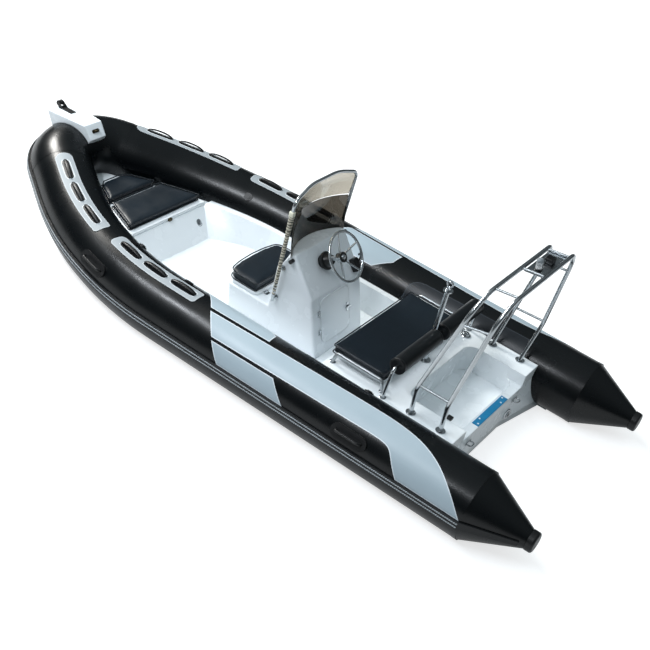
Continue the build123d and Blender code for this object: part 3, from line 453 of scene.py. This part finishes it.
# Hull and deck mouldings. Glass-fibre laminate in polished moulds, with a white gelcoat that comes out
# glossy, a little wavy, and never with a sharp edge. Joints are bonded and their edges trimmed.
def gelcoat(name, dark, light, roughness, edge):
    """White polyester gelcoat. Edges catch light over their moulded radius."""
    material, shader, place = start_material(name, light, roughness)
    shader.inputs["IOR"].default_value = 1.52
    shader.inputs["Coat Weight"].default_value = 0.35
    shader.inputs["Coat Roughness"].default_value = 0.08
    mottle(material, shader, place, "Base Color", 1.6, dark, light)
    mottle(material, shader, place, "Roughness", 7.0, roughness - 0.02, roughness + 0.03)
    eased_edge = add_node(material, "ShaderNodeBevel", {"samples": 6}, {"Radius": edge})
    peel = add_node(material, "ShaderNodeTexNoise", None, {"Vector": place, "Scale": 55.0, "Detail": 1.0})
    roughen(material, shader, peel.outputs["Fac"], 0.018, 0.004, eased_edge)
    return material


gelcoat_white = gelcoat("gelcoat_white", "#E4E9EC", "#E8EDF0", 0.26, 0.010)
# Painted shade: the console, its door and the front seat lid take a greyer copy of the white gelcoat.
gelcoat_soft_shaded = gelcoat("gelcoat_white_console_painted_shade", "#DBE0E4", "#DFE4E8", 0.26, 0.016)
# Painted shade: the hull is white gelcoat, drawn grey to stand in for the shaded transom.
gelcoat_hull = gelcoat("gelcoat_hull", "#AFB5B8", "#B9BFC2", 0.30, 0.006)
dress(gelcoat_white, "cockpit_liner", "bow_deck", "aft_deck", "bow_step", "bow_locker_lid")
dress(gelcoat_soft_shaded, "console_shell", "console_door", "front_seat_lid")
dress(gelcoat_hull, "hull_shell")


# Stainless rails, arch and small fittings. Drawn tube and rod of grade 316, bent, welded and then mirror
# polished on a wheel, so the surface is bright with a soft haze. Rungs and low rails are only brushed.
def polished_steel(name, colour, brighter, roughness):
    """The wheel leaves soft patches of haze, about 25 mm across."""
    material, shader, place = start_material(name, colour, roughness, 1.0)
    mottle(material, shader, place, "Roughness", 40.0, roughness - 0.04, roughness + 0.06)
    mottle(material, shader, place, "Base Color", 12.0, colour, brighter)
    return material


steel = polished_steel("stainless_mirror_polished", "#B2B7BA", "#C4C8CB", 0.21)
dress(steel, "ski_post", "arch_feet", "light_plate", "stern_fittings", "hinge_leaves", "windscreen_frame",
      "steering_wheel", "console_latch")
brushed = polished_steel("stainless_brushed", "#A3A8AB", "#B3B8BB", 0.40)


def steel_tube(name, corners, bends, radius, node, material=steel):
    """Bent tube along straight runs and arcs, in place of the CAD node whose sizes it repeats."""
    line = bpy.data.curves.new(name, "CURVE")
    line.dimensions = "3D"
    line.bevel_depth = radius
    line.bevel_resolution = 5
    line.use_fill_caps = True
    spline = line.splines.new("POLY")
    points = bent_line(corners, bends)
    spline.points.add(len(points) - 1)
    for target, point in zip(spline.points, points):
        target.co = (point.x, point.y, point.z, 1)
    tube = bpy.data.objects.new(name, line)
    bpy.context.scene.collection.objects.link(tube)
    bpy.ops.object.select_all(action="DESELECT")
    bpy.context.view_layer.objects.active = tube
    tube.select_set(True)
    bpy.ops.object.convert(target="MESH")
    tube = settle(bpy.context.object, name, material, "boat", 50)
    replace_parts(tube, node)


def port_and_starboard(half):
    """A port half of a hoop, closed by its mirror image."""
    return half + [(x, -y, z) for x, y, z in reversed(half)]


ARCH_LEGS = {"forward": [(-1.282, 0.532, 0.326), (-1.307, 0.628, 0.582), (-1.423, 0.520, 1.135),
                         (-1.448, 0.396, 1.252)],
             "aft": [(-1.496, 0.532, 0.326), (-1.522, 0.636, 0.590), (-1.584, 0.505, 1.165),
                     (-1.603, 0.392, 1.272)]}
ARCH_BENDS = (0.110, 0.240, 0.100, 0.100, 0.240, 0.110)
ARCH_RADIUS = 0.014
RAIL_BENDS = (0.028, 0.028)
RAIL_RADIUS = 0.011
BACKREST_BENDS = (0.032, 0.032)
RUNG_RADIUS = 0.008
for name, leg in ARCH_LEGS.items():
    hoop = port_and_starboard(leg)
    steel_tube("arch_tube_" + name, hoop, ARCH_BENDS, ARCH_RADIUS, "arch_" + name + "_hoop")
fore, aft = ARCH_LEGS["forward"], ARCH_LEGS["aft"]
for level, share in (("low", 0.04), ("high", 0.86)):
    ends = [Vector(leg[1]).lerp(Vector(leg[2]), share) for leg in (fore, aft)]
    for word, side in (("port", 1), ("starboard", -1)):
        rung = [(end.x, end.y * side, end.z) for end in ends]
        steel_tube("arch_rung_" + level + "_" + word, rung, (), RUNG_RADIUS, "arch_rungs", brushed)
for word, y in (("port", 0.345), ("middle", 0.0), ("starboard", -0.345)):
    rung = [(leg[3][0], y, leg[3][2]) for leg in (fore, aft)]
    steel_tube("arch_rung_top_" + word, rung, (), RUNG_RADIUS, "arch_rungs", brushed)
for word, side in (("port", 1), ("starboard", -1)):
    rail = [(-0.678, 0.506, 0.321), (-0.694, 0.506, 0.395), (-1.038, 0.506, 0.395), (-1.054, 0.506, 0.321)]
    rail = [(x, y * side, z) for x, y, z in rail]
    steel_tube("bench_rail_" + word, rail, RAIL_BENDS, RAIL_RADIUS, "bench_rails", brushed)
backrest = port_and_starboard([(-1.086, 0.548, 0.321), (-1.098, 0.548, 0.544)])
steel_tube("backrest_tube", backrest, BACKREST_BENDS, RAIL_RADIUS, "backrest_frame")
dark_fitting = polished_steel("bronze_aged", "#3F3829", "#57503D", 0.34)
dress(dark_fitting, "bow_fittings")


# Moulded and painted small parts: nylon knobs, the throttle, the anchor roller's bracket. They come satin
# black from the mould or the paint shop. A black block is screwed to the stern deck beside the port foot.
plastic_black, shader, place = start_material("moulded_nylon_black", "#0E0F10", 0.38)
mottle(plastic_black, shader, place, "Roughness", 60.0, 0.32, 0.45)
grain = add_node(plastic_black, "ShaderNodeTexNoise", None, {"Vector": place, "Scale": 600.0, "Detail": 2.0})
roughen(plastic_black, shader, grain.outputs["Fac"], 0.08, 0.0006)
dress(plastic_black, "bow_roller_bracket", "bow_roller", "windscreen_knobs", "throttle")


def rounded_block(name, low, high, edge, material, segments=3):
    """A moulded block between two corners, with eased edges."""
    bpy.ops.object.select_all(action="DESELECT")
    middle = [(a + b) / 2 for a, b in zip(low, high)]
    bpy.ops.mesh.primitive_cube_add(size=1, location=middle)
    block = bpy.context.object
    block.scale = [b - a for a, b in zip(low, high)]
    bpy.ops.object.transform_apply(location=True, rotation=True, scale=True)
    ease = block.modifiers.new("ease", "BEVEL")
    ease.width = edge
    ease.segments = segments
    bpy.ops.object.modifier_apply(modifier="ease")
    return settle(block, name, material, "boat", 40)


rounded_block("deck_block", (-1.496, 0.371, 0.3202), (-1.460, 0.405, 0.338), 0.003, plastic_black)


def turned(name, profile, centre, axis, material, body, steps=48, smooth=40):
    """Spins a closed profile of (along the axis, radius) points round an axis through centre."""
    bpy.ops.object.select_all(action="DESELECT")
    bpy.ops.mesh.primitive_circle_add(vertices=len(profile), radius=1, fill_type="NOTHING")
    piece = bpy.context.object
    for v, (along, radius) in zip(piece.data.vertices, profile):
        v.co = (radius, 0, along)
    bpy.ops.object.mode_set(mode="EDIT")
    bpy.ops.mesh.select_all(action="SELECT")
    bpy.ops.mesh.spin(steps=steps, angle=2 * pi, center=(0, 0, 0), axis=(0, 0, 1))
    bpy.ops.mesh.select_all(action="SELECT")
    bpy.ops.mesh.remove_doubles(threshold=WELD)
    bpy.ops.object.mode_set(mode="OBJECT")
    turn = Vector((0, 0, 1)).rotation_difference(Vector(axis)).to_matrix().to_4x4()
    piece.data.transform(Matrix.Translation(Vector(centre)) @ turn)
    return settle(piece, name, material, body, smooth)


STERN_DECK_TOP = 0.320
FOOT_PROFILE = [(0.0004, 0), (0.0004, 0.021), (0.003, 0.022), (0.005, 0.019), (0.007, 0.0135),
                (0.012, 0.0125), (0.012, 0)]
for i, (x, y) in enumerate([(-0.678, 0.506), (-1.054, 0.506), (-1.086, 0.548)]):
    for word, side in (("port", 1), ("starboard", -1)):
        flange = turned("tube_flange_" + str(i + 1) + "_" + word, FOOT_PROFILE,
                        (x, y * side, STERN_DECK_TOP), (0, 0, 1), steel, "boat", 32)


# Clamp pad. A blue polyethylene plate protects the transom's top from an engine's clamps. It is held by four
# white nylon bolts with domed heads.
blue_pad, shader, place = start_material("moulded_polyethylene_blue", "#0A76A4", 0.42)
mottle(blue_pad, shader, place, "Base Color", 30.0, "#086D99", "#0F80B0")
grain = add_node(blue_pad, "ShaderNodeTexNoise", None, {"Vector": place, "Scale": 500.0, "Detail": 2.0})
roughen(blue_pad, shader, grain.outputs["Fac"], 0.08, 0.0006)
nylon_white, shader, place = start_material("moulded_nylon_white", "#E3E6E8", 0.36)
mottle(nylon_white, shader, place, "Roughness", 60.0, 0.32, 0.42)
pad = rounded_block("clamp_plate", (-1.6090, -0.200, 0.2352), (-1.5610, 0.200, 0.2402), 0.0012, blue_pad)
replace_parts(pad, "clamp_pad")
BOLT_HEAD = [(0, 0), (0, 0.0065), (0.0012, 0.0065), (0.0026, 0.004), (0.003, 0)]
for i, (x, y) in enumerate([(-1.594, 0.180), (-1.576, 0.128), (-1.594, -0.128), (-1.576, -0.180)]):
    bolt = turned("clamp_bolt_" + str(i + 1), BOLT_HEAD, (x, y, 0.2402), (0, 0, 1), nylon_white, "boat", 20)


# Stern light, horn, deck filler and drain. The light is a clear ribbed lens between a black foot and a grey
# cap. The horn is a slatted black box beside it. Filler cap and drain flange are polished stainless.
STERN_LIGHT = Vector((-1.5267, -0.062, 1.2541))
PLATE_UP = Vector((0.128, 0, 0.9918))
lamp_glass, shader, place = start_material("moulded_polycarbonate_clear", "#D5D9DC", 0.12)
shader.inputs["Transmission Weight"].default_value = 0.7
mottle(lamp_glass, shader, place, "Roughness", 60.0, 0.10, 0.20)
lamp_grey, shader, place = start_material("moulded_lamp_cap", "#7E8488", 0.30)
mottle(lamp_grey, shader, place, "Roughness", 60.0, 0.26, 0.36)
foot = turned("stern_light_foot", [(0, 0), (0, 0.024), (0.010, 0.024), (0.013, 0.021), (0.013, 0)],
              STERN_LIGHT, PLATE_UP, plastic_black, "boat", 32)
lens_profile = [(0.0135, 0), (0.0135, 0.019)]
for i in range(6):
    lens_profile += [(0.016 + 0.007 * i, 0.0205), (0.0195 + 0.007 * i, 0.0185)]
lens_profile += [(0.058, 0.0185), (0.058, 0)]
lens = turned("stern_light_lens", lens_profile, STERN_LIGHT, PLATE_UP, lamp_glass, "boat", 32)
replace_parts(lens, "stern_light")
cap_profile = [(0.0585, 0), (0.0585, 0.021), (0.066, 0.021), (0.074, 0.017), (0.079, 0.008), (0.080, 0)]
cap = turned("stern_light_cap", cap_profile, STERN_LIGHT, PLATE_UP, lamp_grey, "boat", 32)
horn = rounded_block("horn_box", (-1.560, -0.234, 1.2568), (-1.506, -0.176, 1.2880), 0.005, plastic_black)
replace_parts(horn, "horn")
for i in range(5):
    slat = rounded_block("horn_slat_" + str(i + 1), (-1.557 + 0.0105 * i, -0.230, 1.2870),
                         (-1.551 + 0.0105 * i, -0.180, 1.2915), 0.0012, plastic_black, 2)
filler = turned("filler_cap", [(0.0003, 0), (0.0003, 0.034), (0.005, 0.035), (0.009, 0.032), (0.011, 0.026),
                               (0.018, 0.024), (0.024, 0.015), (0.026, 0.006), (0.0262, 0)],
                (-1.105, -0.470, STERN_DECK_TOP), (0, 0, 1), steel, "boat", 40)
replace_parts(filler, "deck_filler")
DRAIN = (-1.6190, -0.270, 0.080)
DRAIN_AXIS = (-0.990, 0.125, 0.056)
flange = turned("drain_flange", [(0.0004, 0.018), (0.0004, 0.040), (0.004, 0.040), (0.008, 0.034),
                                 (0.008, 0.023), (0.002, 0.018)],
                DRAIN, DRAIN_AXIS, steel, "boat", 40)
plug = turned("drain_plug", [(0.0002, 0), (0.0002, 0.018), (0.003, 0.018), (0.004, 0.010), (0.004, 0)],
              DRAIN, DRAIN_AXIS, plastic_black, "boat", 24)


# Helm. A black moulded boot flares to a bezel under the stainless wheel, whose boss has a black ring and a
# polished cap pressed into it.
HELM = Vector((-0.1927, 0.05, 0.6179))
HELM_AXIS = Vector((-0.7809, 0, 0.6247))
boot = turned("helm_bezel", [(0.0004, 0.016), (0.0004, 0.045), (0.018, 0.047), (0.030, 0.061), (0.038, 0.063),
                             (0.046, 0.060), (0.050, 0.046), (0.068, 0.036), (0.086, 0.030), (0.086, 0.016)],
              HELM, HELM_AXIS, plastic_black, "boat", 48)
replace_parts(boot, "helm_boot")
ring = turned("boss_ring", [(0.1742, 0.020), (0.1742, 0.0325), (0.178, 0.0355), (0.183, 0.034),
                            (0.185, 0.027), (0.182, 0.020)],
              HELM, HELM_AXIS, plastic_black, "steering_wheel", 40)
cap_profile = [(0.1742, 0), (0.1742, 0.0192), (0.182, 0.0192), (0.188, 0.015), (0.191, 0.008), (0.192, 0)]
cap = turned("boss_cap", cap_profile, HELM, HELM_AXIS, steel, "steering_wheel", 32)


# Small gear inside: a folding ring on the bulkhead, and a wrapped sleeve with a cream clip on the port leg of
# the windscreen's hoop. The sleeve is a soft mottled wrap, bound round the tube in turns 30 mm apart; dark
# bands about 21 mm apart are painted shade of its creases.
RING_PLACE = Vector((1.036, -0.253, 0.162))
RING_NORMAL = Vector((-0.674, 0, 0.739))
plate = turned("lashing_plate", [(0, 0), (0, 0.024), (0.002, 0.024), (0.0035, 0.020), (0.004, 0)],
               RING_PLACE, RING_NORMAL, steel, "boat", 32)
bpy.ops.mesh.primitive_torus_add(major_segments=32, minor_segments=10, major_radius=0.022,
                                 minor_radius=0.0034)
loop = bpy.context.object
loop.data.transform(Matrix.Translation(RING_PLACE + RING_NORMAL * 0.008 + Vector((0, 0, -0.014)))
                    @ Vector((0, 0, 1)).rotation_difference(RING_NORMAL).to_matrix().to_4x4())
settle(loop, "lashing_ring", steel)
wrap_fabric, shader, place = start_material("wrapped_film_taupe", "#8B8474", 0.34)
turns = add_node(wrap_fabric, "ShaderNodeTexWave", {"bands_direction": "Z"},
                 {"Vector": place, "Scale": 15.0, "Distortion": 5.0, "Detail": 3.0, "Detail Scale": 2.0})
# Painted shade: the dark bands stand in for shade in the wrap's creases.
bound = add_node(wrap_fabric, "ShaderNodeMix", {"data_type": "RGBA"},
                 {0: turns.outputs["Fac"], 6: linear("#2B2822"), 7: linear("#CFC8B4")})
wrap_fabric.node_tree.links.new(bound.outputs[2], shader.inputs["Base Color"])
creases = add_node(wrap_fabric, "ShaderNodeTexNoise", None, {"Vector": place, "Scale": 90.0, "Detail": 3.0})
roughen(wrap_fabric, shader, creases.outputs["Fac"], 0.5, 0.004)
LEG_FOOT = Vector((-0.048, 0.322, 0.340))
LEG_HEAD = Vector((-0.067, 0.350, 1.105))
SLEEVE_CUTS = 60
SLEEVE_TWIST = 130
bpy.ops.object.select_all(action="DESELECT")
bpy.ops.mesh.primitive_cylinder_add(vertices=24, radius=1, depth=1)
sleeve = bpy.context.object
bpy.ops.object.mode_set(mode="EDIT")
for cut in range(1, SLEEVE_CUTS):
    bpy.ops.mesh.select_all(action="SELECT")
    bpy.ops.mesh.bisect(plane_co=(0, 0, cut / SLEEVE_CUTS - 0.5), plane_no=(0, 0, 1))
bpy.ops.object.mode_set(mode="OBJECT")
turn = Vector((0, 0, 1)).rotation_difference(LEG_HEAD - LEG_FOOT).to_matrix()
for v in sleeve.data.vertices:
    share = 0.07 + 0.80 * (v.co.z + 0.5)
    spiral = sin(v.co.z * SLEEVE_TWIST + Vector((v.co.x, v.co.y, 0)).angle(Vector((1, 0, 0)), 0.0))
    wide = 0.0112 + 0.0085 * share ** 2 + 0.0009 * spiral
    v.co = LEG_FOOT.lerp(LEG_HEAD, share) + turn @ Vector((v.co.x * wide, v.co.y * wide, 0))
settle(sleeve, "hoop_sleeve", wrap_fabric, "boat", 60)
cream, shader, place = start_material("moulded_nylon_cream", "#D9D6C4", 0.40)
mottle(cream, shader, place, "Base Color", 40.0, "#CFCBB6", "#E2E0D0")
at = LEG_FOOT.lerp(LEG_HEAD, 0.885)
low = at - Vector((0.017, 0.014, 0.016))
high = at + Vector((0.017, 0.018, 0.020))
clip = rounded_block("hoop_clip", low, high, 0.006, cream)


# Windscreen. Two sheets of cast acrylic, the lower smoked dark brown and the upper a pale bronze tint, bent
# to the curve of the cowl and held in the stainless hoop.
def cast_acrylic(name, colour, roughness):
    """Clear cast sheet tinted right through. A little haze keeps the tint visible against a white room."""
    material, shader, place = start_material(name, colour, roughness)
    shader.inputs["Transmission Weight"].default_value = 0.92
    shader.inputs["IOR"].default_value = 1.49
    mottle(material, shader, place, "Roughness", 12.0, roughness, roughness + 0.03)
    return material


dress(cast_acrylic("acrylic_smoked_brown", "#4C473F", 0.02), "windscreen")
dress(cast_acrylic("acrylic_pale_bronze", "#B5AFA2", 0.06), "windscreen_upper")


# Cushions. Marine vinyl over firm foam: a top panel and a boxing strip sewn together with a piping cord.
# The foam stands proud of the seams, so the tops are lightly crowned and the sides bulge between pipings.
CUSHION_SWELL = 0.006
FOAM_INSET = 0.004
PIPING_INSET = 0.0015
PIPING_RADIUS = 0.0042
VOXEL = 0.009
FOAM_PRESSURE = 4.0
FOAM_STEPS = 20


def upholstery_vinyl(name, dark, light, roughness):
    """Marine vinyl. The emboss is about 1.2 mm across, and is drawn at 2.5 mm so that it shows."""
    material, shader, place = start_material(name, dark, roughness)
    shader.inputs["Specular IOR Level"].default_value = 0.34
    mottle(material, shader, place, "Base Color", 4.0, dark, light)
    mottle(material, shader, place, "Roughness", 9.0, roughness - 0.05, roughness + 0.06)
    pebble = add_node(material, "ShaderNodeTexVoronoi", {"feature": "SMOOTH_F1"},
                      {"Vector": place, "Scale": 400.0})
    grain = roughen(material, shader, pebble.outputs["Distance"], 0.10, 0.0012)
    puckers = add_node(material, "ShaderNodeTexNoise", None, {"Vector": place, "Scale": 14.0, "Detail": 3.0})
    roughen(material, shader, puckers.outputs["Fac"], 0.12, 0.006, grain)
    return material


def corner_rounded(corners):
    """A closed plan outline from (x, y, radius) corners, anticlockwise, with an arc at each."""
    outline = []
    count = len(corners)
    for i, (x, y, bend) in enumerate(corners):
        corner = Vector((x, y))
        back = (Vector(corners[i - 1][:2]) - corner).normalized()
        onward = (Vector(corners[(i + 1) % count][:2]) - corner).normalized()
        half_turn = (pi - back.angle(onward)) / 2
        start = corner + back * bend * tan(half_turn)
        end = corner + onward * bend * tan(half_turn)
        for step in range(9):
            t = step / 8
            outline.append(start.lerp(corner, t).lerp(corner.lerp(end, t), t))
    return outline


def stuffed_cushion(name, corners, low, high, body, node):
    """A firm foam cushion blown out by cloth simulation from a slightly smaller block."""
    outline = corner_rounded(corners)
    middle = sum(outline, Vector((0, 0))) / len(outline)
    bpy.ops.object.select_all(action="DESELECT")
    bpy.ops.mesh.primitive_circle_add(vertices=len(outline), radius=1, fill_type="NGON")
    cushion = bpy.context.object
    for v, point in zip(cushion.data.vertices, outline):
        inset = (point - middle).normalized() * FOAM_INSET
        v.co = (point.x - inset.x, point.y - inset.y, low)
    bpy.ops.object.mode_set(mode="EDIT")
    bpy.ops.mesh.select_all(action="SELECT")
    bpy.ops.mesh.extrude_region_move(TRANSFORM_OT_translate={"value": (0, 0, high - low - FOAM_INSET)})
    bpy.ops.mesh.select_all(action="SELECT")
    bpy.ops.mesh.normals_make_consistent(inside=False)
    bpy.ops.object.mode_set(mode="OBJECT")
    grid = cushion.modifiers.new("grid", "REMESH")
    grid.mode = "VOXEL"
    grid.voxel_size = VOXEL
    bpy.ops.object.modifier_apply(modifier="grid")
    start = [v.co.copy() for v in cushion.data.vertices]
    cloth = cushion.modifiers.new("foam", "CLOTH")
    cloth.settings.use_pressure = True
    cloth.settings.uniform_pressure_force = FOAM_PRESSURE
    cloth.settings.effector_weights.gravity = 0.0
    cloth.point_cache.frame_start = 1
    cloth.point_cache.frame_end = FOAM_STEPS
    for step in range(1, FOAM_STEPS + 1):
        bpy.context.scene.frame_set(step)
    bpy.ops.object.modifier_apply(modifier="foam")
    bpy.context.scene.frame_set(1)
    for v, at in zip(cushion.data.vertices, start):
        moved = v.co - at
        if moved.length > CUSHION_SWELL:
            v.co = at + moved * (CUSHION_SWELL / moved.length)
        v.co.z = max(v.co.z, low + 0.0003)
    finer = cushion.modifiers.new("finer", "SUBSURF")
    finer.levels = 1
    finer.render_levels = 1
    bpy.ops.object.modifier_apply(modifier="finer")
    settle(cushion, name, vinyl_black_sky_tint, body, 60)
    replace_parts(cushion, node)
    cord = bpy.data.curves.new(name + "_piping", "CURVE")
    cord.dimensions = "3D"
    cord.bevel_depth = PIPING_RADIUS
    cord.bevel_resolution = 3
    for z in (high - 0.0045, low + PIPING_RADIUS + 0.001):
        spline = cord.splines.new("POLY")
        spline.points.add(len(outline) - 1)
        spline.use_cyclic_u = True
        for point, at in zip(spline.points, outline):
            inset = (at - middle).normalized() * PIPING_INSET
            point.co = (at.x - inset.x, at.y - inset.y, z, 1)
    piping = bpy.data.objects.new(name + "_piping", cord)
    bpy.context.scene.collection.objects.link(piping)
    bpy.context.view_layer.objects.active = piping
    piping.select_set(True)
    bpy.ops.object.convert(target="MESH")
    settle(bpy.context.object, name + "_piping", piping_vinyl_glint, body, 60)


# Painted reflection: the black vinyl's blue tint stands in for the sky mirrored on the cushion tops.
vinyl_black_sky_tint = upholstery_vinyl("marine_vinyl_black_painted_reflection", "#0C151C", "#121D26", 0.42)
# Painted highlight: the piping is a paler grey than the cushion vinyl, standing in for the glint along its
# edge.
piping_vinyl_glint = upholstery_vinyl("marine_vinyl_piping_painted_glint", "#1A1E22", "#262A2F", 0.24)
CUSHIONS = [
    ("cushion_bow_aft", [(1.157, -0.372, 0.014), (1.442, -0.252, 0.014), (1.442, 0.252, 0.014),
                         (1.157, 0.372, 0.014)],
     0.2513, 0.2983, "bow_locker_lid", "bow_cushion_aft"),
    ("cushion_bow_front", [(1.478, -0.238, 0.014), (1.640, -0.150, 0.05), (1.684, -0.090, 0.03),
                           (1.684, 0.090, 0.03), (1.640, 0.150, 0.05), (1.478, 0.238, 0.014)],
     0.2513, 0.2983, "bow_locker_lid", "bow_cushion_front"),
    ("cushion_seat", [(0.122, -0.268, 0.02), (0.350, -0.268, 0.07), (0.374, -0.134, 0.4), (0.382, 0.0, 0.4),
                      (0.374, 0.134, 0.4), (0.350, 0.268, 0.07), (0.122, 0.268, 0.02)],
     0.2823, 0.348, "front_seat_lid", "front_cushion"),
    ("cushion_bench", [(-1.019, -0.470, 0.045), (-0.637, -0.470, 0.020), (-0.637, 0.470, 0.020),
                       (-1.019, 0.470, 0.045)],
     0.3523, 0.412, "boat", "bench_cushion"),
]
for name, corners, low, high, body, node in CUSHIONS:
    stuffed_cushion(name, corners, low, high, body, node)


# Backrest. Two foam rolls in a blacker, smoother vinyl are pulled over the bent stainless tube, and gathered
# to it at both ends inside a piping ring.
ROLL_X = -1.098
ROLL_Z = 0.544
ROLL_PROFILE = [(0.0385, 0.0118), (0.0380, 0.024), (0.0355, 0.038), (0.0350, 0.047), (0.0372, 0.0515),
                (0.0385, 0.0545), (0.0425, 0.0555), (0.0465, 0.0535), (0.060, 0.0545), (0.120, 0.0552),
                (0.270, 0.0557), (0.420, 0.0552), (0.480, 0.0545), (0.4935, 0.0535), (0.4975, 0.0555),
                (0.5015, 0.0545), (0.5028, 0.0515), (0.5050, 0.047), (0.5045, 0.038), (0.5020, 0.024),
                (0.5015, 0.0118)]
vinyl_roll = upholstery_vinyl("marine_vinyl_roll", "#06090B", "#0B0F12", 0.34)
for side, word in ((1, "port"), (-1, "starboard")):
    roll = turned("backrest_roll_" + word, ROLL_PROFILE, (ROLL_X, 0, ROLL_Z), (0, side, 0), vinyl_roll,
                  "boat", 64, 60)
    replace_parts(roll, "backrest_bolsters")


# Floor and lights. The floor is at the water's level. A soft lamp stands off the starboard bow, a strip lies
# along the port side, and a pale ceiling over darker walls fills the rest. What is glossy mirrors a dimmer
# ceiling, so that black rubber stays black beside the lamps' highlights.
bpy.ops.mesh.primitive_plane_add(size=60, location=(0, 0, 0))
floor = bpy.context.object
floor.name = "floor"
studio_floor = bpy.data.materials.new("studio_floor")
studio_floor.use_nodes = True
floor.data.materials.append(studio_floor)
studio_floor.node_tree.nodes.clear()
surface = add_node(studio_floor, "ShaderNodeOutputMaterial")
rays = add_node(studio_floor, "ShaderNodeLightPath")
mirrored = add_node(studio_floor, "ShaderNodeMath", {"operation": "MULTIPLY"},
                    {0: rays.outputs["Is Glossy Ray"], 1: 0.4})
seen = add_node(studio_floor, "ShaderNodeMath", {"operation": "MAXIMUM"},
                {0: rays.outputs["Is Camera Ray"], 1: mirrored.outputs[0]})
seen = add_node(studio_floor, "ShaderNodeMath", {"operation": "MAXIMUM"},
                {0: seen.outputs[0], 1: rays.outputs["Is Transmission Ray"]})
paper = add_node(studio_floor, "ShaderNodeBsdfDiffuse", None, {"Color": linear("#B9BABB")})
glow = add_node(studio_floor, "ShaderNodeEmission", None, {"Color": (1, 1, 1, 1), "Strength": 0.70})
bright = add_node(studio_floor, "ShaderNodeAddShader", None, {0: paper.outputs[0], 1: glow.outputs[0]})
mixed = add_node(studio_floor, "ShaderNodeMixShader", None,
                 {0: seen.outputs[0], 1: paper.outputs[0], 2: bright.outputs[0]})
studio_floor.node_tree.links.new(mixed.outputs[0], surface.inputs["Surface"])

world = bpy.data.worlds.new("studio")
world.use_nodes = True
bpy.context.scene.world = world
rays = add_node(world, "ShaderNodeLightPath")
seen = add_node(world, "ShaderNodeMath", {"operation": "MAXIMUM"},
                {0: rays.outputs["Is Camera Ray"], 1: rays.outputs["Is Transmission Ray"]})
room = world.node_tree.nodes["Background"]
room.inputs["Color"].default_value = linear("#D2E0E6")
heading = add_node(world, "ShaderNodeTexCoord")
apart = add_node(world, "ShaderNodeSeparateXYZ", None, {"Vector": heading.outputs["Generated"]})
above = add_node(world, "ShaderNodeMath", {"operation": "MAXIMUM"}, {0: apart.outputs["Z"], 1: 0.0})
rising = add_node(world, "ShaderNodeMath", {"operation": "POWER"}, {0: above.outputs[0], 1: 1.7})
ceiling = add_node(world, "ShaderNodeMapRange", None,
                   {"Value": rising.outputs[0], "To Min": 0.14, "To Max": 1.15})
dimmed = add_node(world, "ShaderNodeMapRange", None,
                  {"Value": rays.outputs["Is Glossy Ray"], "To Min": 1.0, "To Max": 0.42})
strength = add_node(world, "ShaderNodeMath", {"operation": "MULTIPLY"},
                    {0: ceiling.outputs["Result"], 1: dimmed.outputs["Result"]})
world.node_tree.links.new(strength.outputs[0], room.inputs["Strength"])
white = add_node(world, "ShaderNodeBackground", None, {"Color": (1, 1, 1, 1), "Strength": 1.0})
mixed = add_node(world, "ShaderNodeMixShader", None,
                 {0: seen.outputs[0], 1: room.outputs[0], 2: white.outputs[0]})
world.node_tree.links.new(mixed.outputs[0], world.node_tree.nodes["World Output"].inputs["Surface"])

for name, place, aim, size, power, colour in [
        ("key_bow", (10.5, -2.2, 8.4), (0, 0, 0.2), (2.8, 2.8), 1550, "#FFFDF8"),
        ("strip_port", (2.5, 3.8, 6.2), (0.2, 0.6, 0.2), (5.5, 0.35), 430, "#F4F9FF")]:
    lamp_data = bpy.data.lights.new(name, "AREA")
    lamp_data.shape = "RECTANGLE"
    lamp_data.size, lamp_data.size_y = size
    lamp_data.energy = power
    lamp_data.color = linear(colour)[:3]
    lamp = bpy.data.objects.new(name, lamp_data)
    bpy.context.scene.collection.objects.link(lamp)
    lamp.location = place
    lamp.rotation_euler = (Vector(aim) - Vector(place)).to_track_quat("-Z", "Y").to_euler()

bpy.context.scene.view_settings.view_transform = "Standard"
